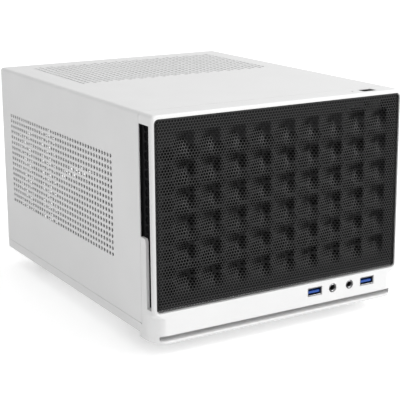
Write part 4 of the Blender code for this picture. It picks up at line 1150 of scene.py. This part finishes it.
# middles, half sizes and heights; the first is the place that the chipset's heatsink takes
BOARD_CHIPS = ((-0.040, 0.052, 0.0130, 0.0130, 0.0085), (-0.044, 0.104, 0.0045, 0.0045, 0.0012),
               (0.060, 0.112, 0.0050, 0.0050, 0.0012), (0.078, 0.098, 0.0035, 0.0050, 0.0012),
               (0.076, 0.016, 0.0060, 0.0060, 0.0012), (-0.030, 0.014, 0.0040, 0.0050, 0.0012))
HEADER_PITCH = 0.00254


def add_chip(bodies, legs, x, y, half_x, half_y, top, height):
    """Adds a flat chip with a row of legs along each side."""
    add_bar(bodies, (x, y), (half_x, half_y), along_z, (top + 0.0002, top + height), 0.00015)
    width, length, middle_leg = 0.00016, 0.0006, (CHIP_LEGS - 1) / 2
    for side in range(4):
        for i in range(CHIP_LEGS):
            if side < 2:
                spot = (x + (i - middle_leg) / 5 * half_x * 0.9, y + (1 if side else -1) * (half_y + 0.0004))
                reach = (width, length)
            else:
                spot = (x + (1 if side == 3 else -1) * (half_x + 0.0004),
                        y + (i - middle_leg) / 5 * half_y * 0.9)
                reach = (length, width)
            add_bar(legs, spot, reach, along_z, (top, top + 0.0003))


def mainboard():
    """Printed board with its chips, coils, capacitors and headers."""
    detailed("motherboard", "board_green", BOARD, edge=0.0002, segments=1)
    low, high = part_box("motherboard")
    top = high.z
    chips, small, coils, ceramics, pins, cans = (bmesh.new() for _ in range(6))
    draw = np.random.default_rng(41)
    taken = []
    for node in ("audio_stack", "network_stack", "usb_stack", "display_stack", "processor_socket",
                 "memory_slot_1", "memory_slot_2", "expansion_slot", "power_connector"):
        a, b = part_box(node)
        taken.append((a.x - 0.001, b.x + 0.001, a.y - 0.001, b.y + 0.001))

    def free(x, y, half_x, half_y):
        inside = low.x + 0.002 < x - half_x and x + half_x < high.x - 0.002
        inside = inside and low.y + 0.002 < y - half_y and y + half_y < high.y - 0.002
        return inside and all(x + half_x < a or x - half_x > b or y + half_y < c or y - half_y > d
                              for a, b, c, d in taken)

    def claim(x, y, half_x, half_y):
        taken.append((x - half_x - 0.0004, x + half_x + 0.0004, y - half_y - 0.0004, y + half_y + 0.0004))

    for index, (x, y, half_x, half_y, height) in enumerate(BOARD_CHIPS):
        claim(x, y, half_x, half_y)
        if index:
            add_chip(chips, pins, x, y, half_x, half_y, top, height)
    for i in range(6):
        x, y = 0.0440, 0.0330 + i * 0.0088
        claim(x, y, 0.0034, 0.0034)
        add_bar(coils, (x, y), (0.0032, 0.0032), along_z, (top + 0.0001, top + 0.0045), 0.0006, 2)
    spots = [(0.0530, 0.0310 + i * 0.0088) for i in range(7)]
    spots += [(-0.0160 + i * 0.009, 0.0860) for i in range(6)]
    spots += [(0.080, 0.064), (0.080, 0.073), (-0.052, 0.092), (-0.052, 0.083), (-0.046, 0.003),
              (-0.036, 0.003)]
    can = [(0.0030, 0), (0.0031, 0.0006), (0.0029, 0.0009), (0.0031, 0.0012), (0.0031, 0.0054),
           (0.0028, 0.0057), (0.0012, 0.0057)]
    for x, y in spots:
        if free(x, y, 0.0033, 0.0033):
            claim(x, y, 0.0033, 0.0033)
            add_turned(cans, can, (x, y, top + 0.0001), along_z, 20)
    for _ in range(420):
        x, y = draw.uniform(low.x, high.x), draw.uniform(low.y, high.y)
        half = (0.0009, 0.00045) if draw.random() < 0.5 else (0.00045, 0.0009)
        if free(x, y, *half):
            claim(x, y, *half)
            add_bar(small if draw.random() < 0.5 else ceramics, (x, y), half, along_z, (top, top + 0.00055))
    headers = [(x, -0.0275, 9, 2) for x in (-0.040, 0.000, 0.040)]
    headers += [(-0.064, 0.004, 1, 6), (0.094, 0.080, 2, 8)]
    for x, y, count_x, count_y in headers:
        for i in range(count_x):
            for j in range(count_y):
                spot = (x + (i - (count_x - 1) / 2) * HEADER_PITCH,
                        y + (j - (count_y - 1) / 2) * HEADER_PITCH)
                add_bar(chips, spot, (0.00122, 0.00122), along_z, (top, top + 0.0025), 0.0002)
                add_bar(pins, spot, (0.0003, 0.0003), along_z, (top + 0.0020, top + 0.0080))
    gathered("board_chips", chips, CHIP, "black_plastic")
    gathered("board_coils", coils, CHIP, "black_plastic")
    gathered("board_resistors", small, CHIP, "black_plastic")
    gathered("board_ceramics", ceramics, CREAM_PLASTIC, "black_plastic")
    gathered("board_pins", pins, NICKEL)
    gathered("board_capacitors", cans, ALUMINIUM, "aluminium")

    gaps = bmesh.new()
    for i in range(5):
        x = -0.040 + (i - 2) * 0.0050
        add_block(gaps, (x - 0.0012, 0.030, top + 0.0032), (x + 0.0012, 0.080, top + 0.0120))
    sink = blocks("chipset_heatsink", [((-0.0525, 0.0395, top + 0.0006), (-0.0275, 0.0645, top + 0.0085))],
                  ALUMINIUM)
    fitted(rounded(carved(sink, new_object("gaps", gaps)), 0.0003, 1), "aluminium")
    cell = [(0.0098, 0), (0.0100, 0.0004), (0.0100, 0.0026), (0.0096, 0.0030), (0.0088, 0.0030),
            (0.0086, 0.0032)]
    fitted(turned("coin_cell", cell, (0.070, 0.036, top + 0.0008), along_z, NICKEL, 40), "bright_metal")
    holder = [(0.0108, 0), (0.0108, 0.0022), (0.0103, 0.0026), (0.0103, 0.0006)]
    holder = turned("cell_holder", holder, (0.070, 0.036, top + 0.0001), along_z, BLACK_PLASTIC, 40)
    fitted(holder, "black_plastic")


def memory_socket(node):
    """Socket with a latch at each end, wider at the top."""
    low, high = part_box(node)
    detailed(node, "black_plastic", BLACK_PLASTIC, edge=0.0002)
    foot, head = high.z - 0.0010, high.z + 0.0100
    left, right = low.x + 0.0012, high.x - 0.0012
    outlines = [[(left - 0.0011, foot), (left + 0.0011, foot), (left + 0.0011, head), (left - 0.0016, head)],
                [(right - 0.0011, foot), (right + 0.0011, foot), (right + 0.0016, head),
                 (right - 0.0011, head)]]
    latches = prisms(node + "_latches", outlines, along_y, low.y + 0.0014, high.y - 0.0014, CREAM_PLASTIC)
    fitted(rounded(latches, 0.0003), "black_plastic")


def memory_module(node):
    """Module with its notches, and chips and contact fingers on both faces."""
    low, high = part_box(node)
    notches = [circle((x, z), 0.0014, 16) for x in (low.x, high.x) for z in (low.z + 0.0105, low.z + 0.0180)]
    notches.append(circle((0.0180, low.z), 0.0009, 12))
    perforated(node, "board_green", BOARD, notches, along_y, (low.y - 0.001, high.y + 0.001), 0.0001)
    chips, fingers = bmesh.new(), bmesh.new()
    for face, outward in ((low.y, -1), (high.y, 1)):
        for mesh, count, margin, half, start, end, height, radius in (
                (chips, 8, 0.0120, 0.0052, 0.00002, 0.0011, (0.0120, 0.0235), 0.0001),
                (fingers, 70, 0.0030, 0.0006, 0.00001, 0.00006, (0.0008, 0.0040), 0)):
            near, far = sorted((face + outward * start, face + outward * end))
            for i in range(count):
                x = low.x + margin + i * (high.x - low.x - 2 * margin) / (count - 1)
                add_block(mesh, (x - half, near, low.z + height[0]), (x + half, far, low.z + height[1]),
                          radius)
    fitted(new_object(node + "_chips", chips, CHIP), "black_plastic")
    fitted(new_object(node + "_fingers", fingers, GOLD), "brass")


def processor_and_cooler():
    """Processor in its socket, and the cooler's block with cross cuts and four posts."""
    detailed("processor_socket", "black_plastic", BLACK_PLASTIC)
    detailed("processor", "aluminium", NICKEL, edge=0.0004)
    low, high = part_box("cooler_heatsink")
    cuts = bmesh.new()
    for i in range(5):
        y = low.y + (i + 1) * (high.y - low.y) / 6
        add_block(cuts, (low.x - 0.01, y - 0.0009, high.z - 0.0180),
                  (high.x + 0.01, y + 0.0009, high.z + 0.01))
    detailed("cooler_heatsink", "aluminium", ALUMINIUM, new_object("cuts", cuts), edge=0.0001, segments=1)
    posts, foot = bmesh.new(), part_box("processor_socket")[0].z + 0.0001
    x, y = middle("cooler_heatsink", "xy")
    for a in (-0.0375, 0.0375):
        for b in (-0.0375, 0.0375):
            add_turned(posts, [(0.0022, 0), (0.0022, 0.0060), (0.0032, 0.0062), (0.0032, 0.0068)],
                       (x + a, y + b, foot), along_z, 20)
    gathered("cooler_posts", posts, NICKEL)


def board_connectors():
    """Expansion slot with its contacts, power connector with its wells, and the board's screws."""
    low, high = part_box("expansion_slot")
    detailed("expansion_slot", "black_plastic", BLACK_PLASTIC)
    contacts, count = bmesh.new(), 60
    for i in range(count):
        y = low.y + 0.0050 + i * (high.y - low.y - 0.010) / (count - 1)
        for aside in (-0.00075, 0.00075):
            x = middle("expansion_slot")[0] + aside
            add_bar(contacts, (x, y), (0.0002, 0.0003), along_z, (low.z + 0.0040, high.z - 0.0008))
    fitted(new_object("expansion_contacts", contacts, GOLD), "brass")

    low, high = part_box("power_connector")
    x, pairs = middle("power_connector")[0], 12
    spots = [(x + aside, low.y + (i + 0.5) * (high.y - low.y) / pairs)
             for i in range(pairs) for aside in (-0.0022, 0.0022)]
    wells = [rounded_rectangle(spot, 0.0016, 0.0016, 0.0005, 2) for spot in spots]
    perforated("power_connector", "black_plastic", BLACK_PLASTIC, wells, along_z,
               (high.z - 0.0060, high.z + 0.01), 0.0002, 2)
    for index in range(1, 5):
        detailed(f"standoff_{index}", "brass", BRASS, edge=0.0002)
        centre = (*middle(f"standoff_{index}", "xy"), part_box("motherboard")[1].z)
        cross_head(f"board_screw_{index}", 0.0028, 0.0018, centre, along_z, 1)


def front_board():
    """Board behind the front sockets, with small parts on top and a connector's joints below."""
    low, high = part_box("front_io_board")
    detailed("front_io_board", "board_green", BOARD, edge=0.0002, segments=1)
    parts, pins = bmesh.new(), bmesh.new()
    draw = np.random.default_rng(7)
    for _ in range(50):
        x, y = draw.uniform(low.x + 0.003, high.x - 0.003), draw.uniform(high.y - 0.0065, high.y - 0.002)
        add_bar(parts, (x, y), (0.0005, 0.0003), along_z, (high.z, high.z + 0.0003))
    for i in range(9):
        for j in range(2):
            spot = (0.046 + i * HEADER_PITCH, low.y + 0.0040 + j * HEADER_PITCH)
            add_bar(pins, spot, (0.0003, 0.0003), along_z, (low.z - 0.0006, low.z + 0.0001))
    fitted(new_object("front_board_parts", parts, CHIP), "black_plastic")
    fitted(new_object("front_board_joints", pins, NICKEL), "bright_metal")


def cables():
    """The CAD cables stay, in braided sleeves, with a plug where the front cable meets the mainboard."""
    for node in ("main_power_cable", "front_panel_cable", "drive_cable"):
        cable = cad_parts[node]
        cable.data.materials.clear()
        cable.data.materials.append(SLEEVE)
        cable.data.shade_smooth()
    plug = ((-0.0670, -0.0316, 0.0312), (-0.0600, -0.0240, 0.0362))
    fitted(rounded(blocks("cable_plugs", [plug], BLACK_PLASTIC), 0.0004), "black_plastic")


# ---- stage ---------------------------------------------------------------------------------------
KEY_SIDE = (0.56, -0.50, 0.66)              # towards the key light and the bright side of the room
KEY_POWER = 21.0
KEY_DISTANCE = 2.2
KEY_SIZE = 1.1
ROOM_STRENGTH = 1.02
ROOM_LEVELS = (0.52, 1.05)                  # darkest and brightest, as dull surfaces are lit
GLOSS_SIDE = (0.65, -0.40, 0.65)            # towards the bright side that shiny surfaces reflect
GLOSS_REACH = (-0.25, 0.55)
GLOSS_LEVELS = (0.05, 1.2)
FLOOR_GLOW = 0.33
CAMERA_PLACE = (-0.48343, -0.84809, 0.32542)
CAMERA_TURNS = (30.946, 13.635, -0.271)     # yaw, pitch and roll in degrees
CAMERA_LENS = 105.411
CAMERA_SHIFT = (-0.0325, -0.04)


def see_through(surface):
    """Makes a surface clear from behind, so that the underside can be looked at through the floor."""
    nodes, links = surface.node_tree.nodes, surface.node_tree.links
    clear, mixed, side = (nodes.new(kind) for kind in ("ShaderNodeBsdfTransparent", "ShaderNodeMixShader",
                                                       "ShaderNodeNewGeometry"))
    links.new(side.outputs["Backfacing"], mixed.inputs["Fac"])
    links.new(nodes["Principled BSDF"].outputs["BSDF"], mixed.inputs[1])
    links.new(clear.outputs["BSDF"], mixed.inputs[2])
    links.new(mixed.outputs["Shader"], nodes["Material Output"].inputs["Surface"])


def stage():
    """Pale floor, a softly graded white room and one large key light."""
    floor_mesh = bmesh.new()
    bmesh.ops.create_grid(floor_mesh, x_segments=1, y_segments=1, size=30)
    floor = new_object("floor", floor_mesh)
    floor.location = (0, 0, cad_low.z)
    pale = material("pale_floor", (0.90, 0.90, 0.90), 0.7, vary=0.004, patch=0.05, grain=0.001, bump=0.02)
    shader = pale.node_tree.nodes["Principled BSDF"]
    shader.inputs["Emission Color"].default_value = (1, 1, 1, 1)
    shader.inputs["Emission Strength"].default_value = FLOOR_GLOW
    see_through(pale)
    floor.data.materials.append(pale)
    floor.visible_glossy = False

    world = bpy.data.worlds.new("soft_room")
    bpy.context.scene.world = world
    world.use_nodes = True
    nodes, links = world.node_tree.nodes, world.node_tree.links
    place, seen = nodes.new("ShaderNodeTexCoord"), nodes.new("ShaderNodeLightPath")
    last = nodes["Background"]
    last.inputs["Strength"].default_value = ROOM_STRENGTH
    for side, reach, levels, ray in ((KEY_SIDE, (-1, 1), ROOM_LEVELS, "Is Diffuse Ray"),
                                     (GLOSS_SIDE, GLOSS_REACH, GLOSS_LEVELS, "Is Glossy Ray")):
        toward = nodes.new("ShaderNodeVectorMath")
        toward.operation = "DOT_PRODUCT"
        toward.inputs[1].default_value = Vector(side).normalized()
        links.new(place.outputs["Generated"], toward.inputs[0])
        level = nodes.new("ShaderNodeMapRange")
        level.interpolation_type = "SMOOTHSTEP"
        for name, value in zip(("From Min", "From Max", "To Min", "To Max"), (*reach, *levels)):
            level.inputs[name].default_value = value
        links.new(toward.outputs["Value"], level.inputs["Value"])
        background = nodes.new("ShaderNodeBackground")
        links.new(level.outputs["Result"], background.inputs["Strength"])
        mixed = nodes.new("ShaderNodeMixShader")
        links.new(seen.outputs[ray], mixed.inputs["Fac"])
        links.new(last.outputs[0], mixed.inputs[1])
        links.new(background.outputs["Background"], mixed.inputs[2])
        last = mixed
    for node in nodes:
        if node.type == "BACKGROUND":
            node.inputs["Color"].default_value = (1, 1, 1, 1)
    links.new(last.outputs[0], nodes["World Output"].inputs["Surface"])

    light = bpy.data.lights.new("key", "AREA")
    light.size = KEY_SIZE
    light.energy = KEY_POWER
    key = bpy.data.objects.new("key", light)
    key.location = Vector(KEY_SIDE).normalized() * KEY_DISTANCE
    key.rotation_euler = key.location.to_track_quat("Z", "Y").to_euler()
    bpy.context.scene.collection.objects.link(key)
    bpy.context.scene.view_settings.view_transform = "Standard"


def camera():
    """Long lens from the front left, a little above; the axes follow from yaw, pitch and roll."""
    yaw, pitch, roll = (math.radians(angle) for angle in CAMERA_TURNS)
    forward = Vector((math.sin(yaw) * math.cos(pitch), math.cos(yaw) * math.cos(pitch), -math.sin(pitch)))
    right = Vector((math.cos(yaw), -math.sin(yaw), 0))
    up = right.cross(forward)
    across = math.cos(roll) * right + math.sin(roll) * up
    upward = math.cos(roll) * up - math.sin(roll) * right
    data = bpy.data.cameras.new("camera")
    data.lens = CAMERA_LENS
    data.shift_x, data.shift_y = CAMERA_SHIFT
    made = bpy.data.objects.new("camera", data)
    made.matrix_world = Matrix((*zip(across, upward, -forward, CAMERA_PLACE), (0, 0, 0, 1)))
    bpy.context.scene.collection.objects.link(made)
    bpy.context.scene.camera = made


front_bezel()
front_mesh()
mesh_frame()
for side in ("left", "right"):
    usb_socket("usb_port_" + side)
for side in ("left", "right"):
    audio_socket("audio_jack_" + side)
power_button()
indicator_and_switch()
cover_shell(*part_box("top_cover"))
cover_return(*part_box("top_cover"))
base_pan()
feet()
front_wall()
rear_panel()
rails()
thumbscrews()
slot_covers()
drive()
fans()
power_supply()
rear_sockets()
mainboard()
for index in ("1", "2"):
    memory_socket("memory_slot_" + index)
    memory_module("memory_module_" + index)
processor_and_cooler()
board_connectors()
front_board()
cables()
stage()
camera()
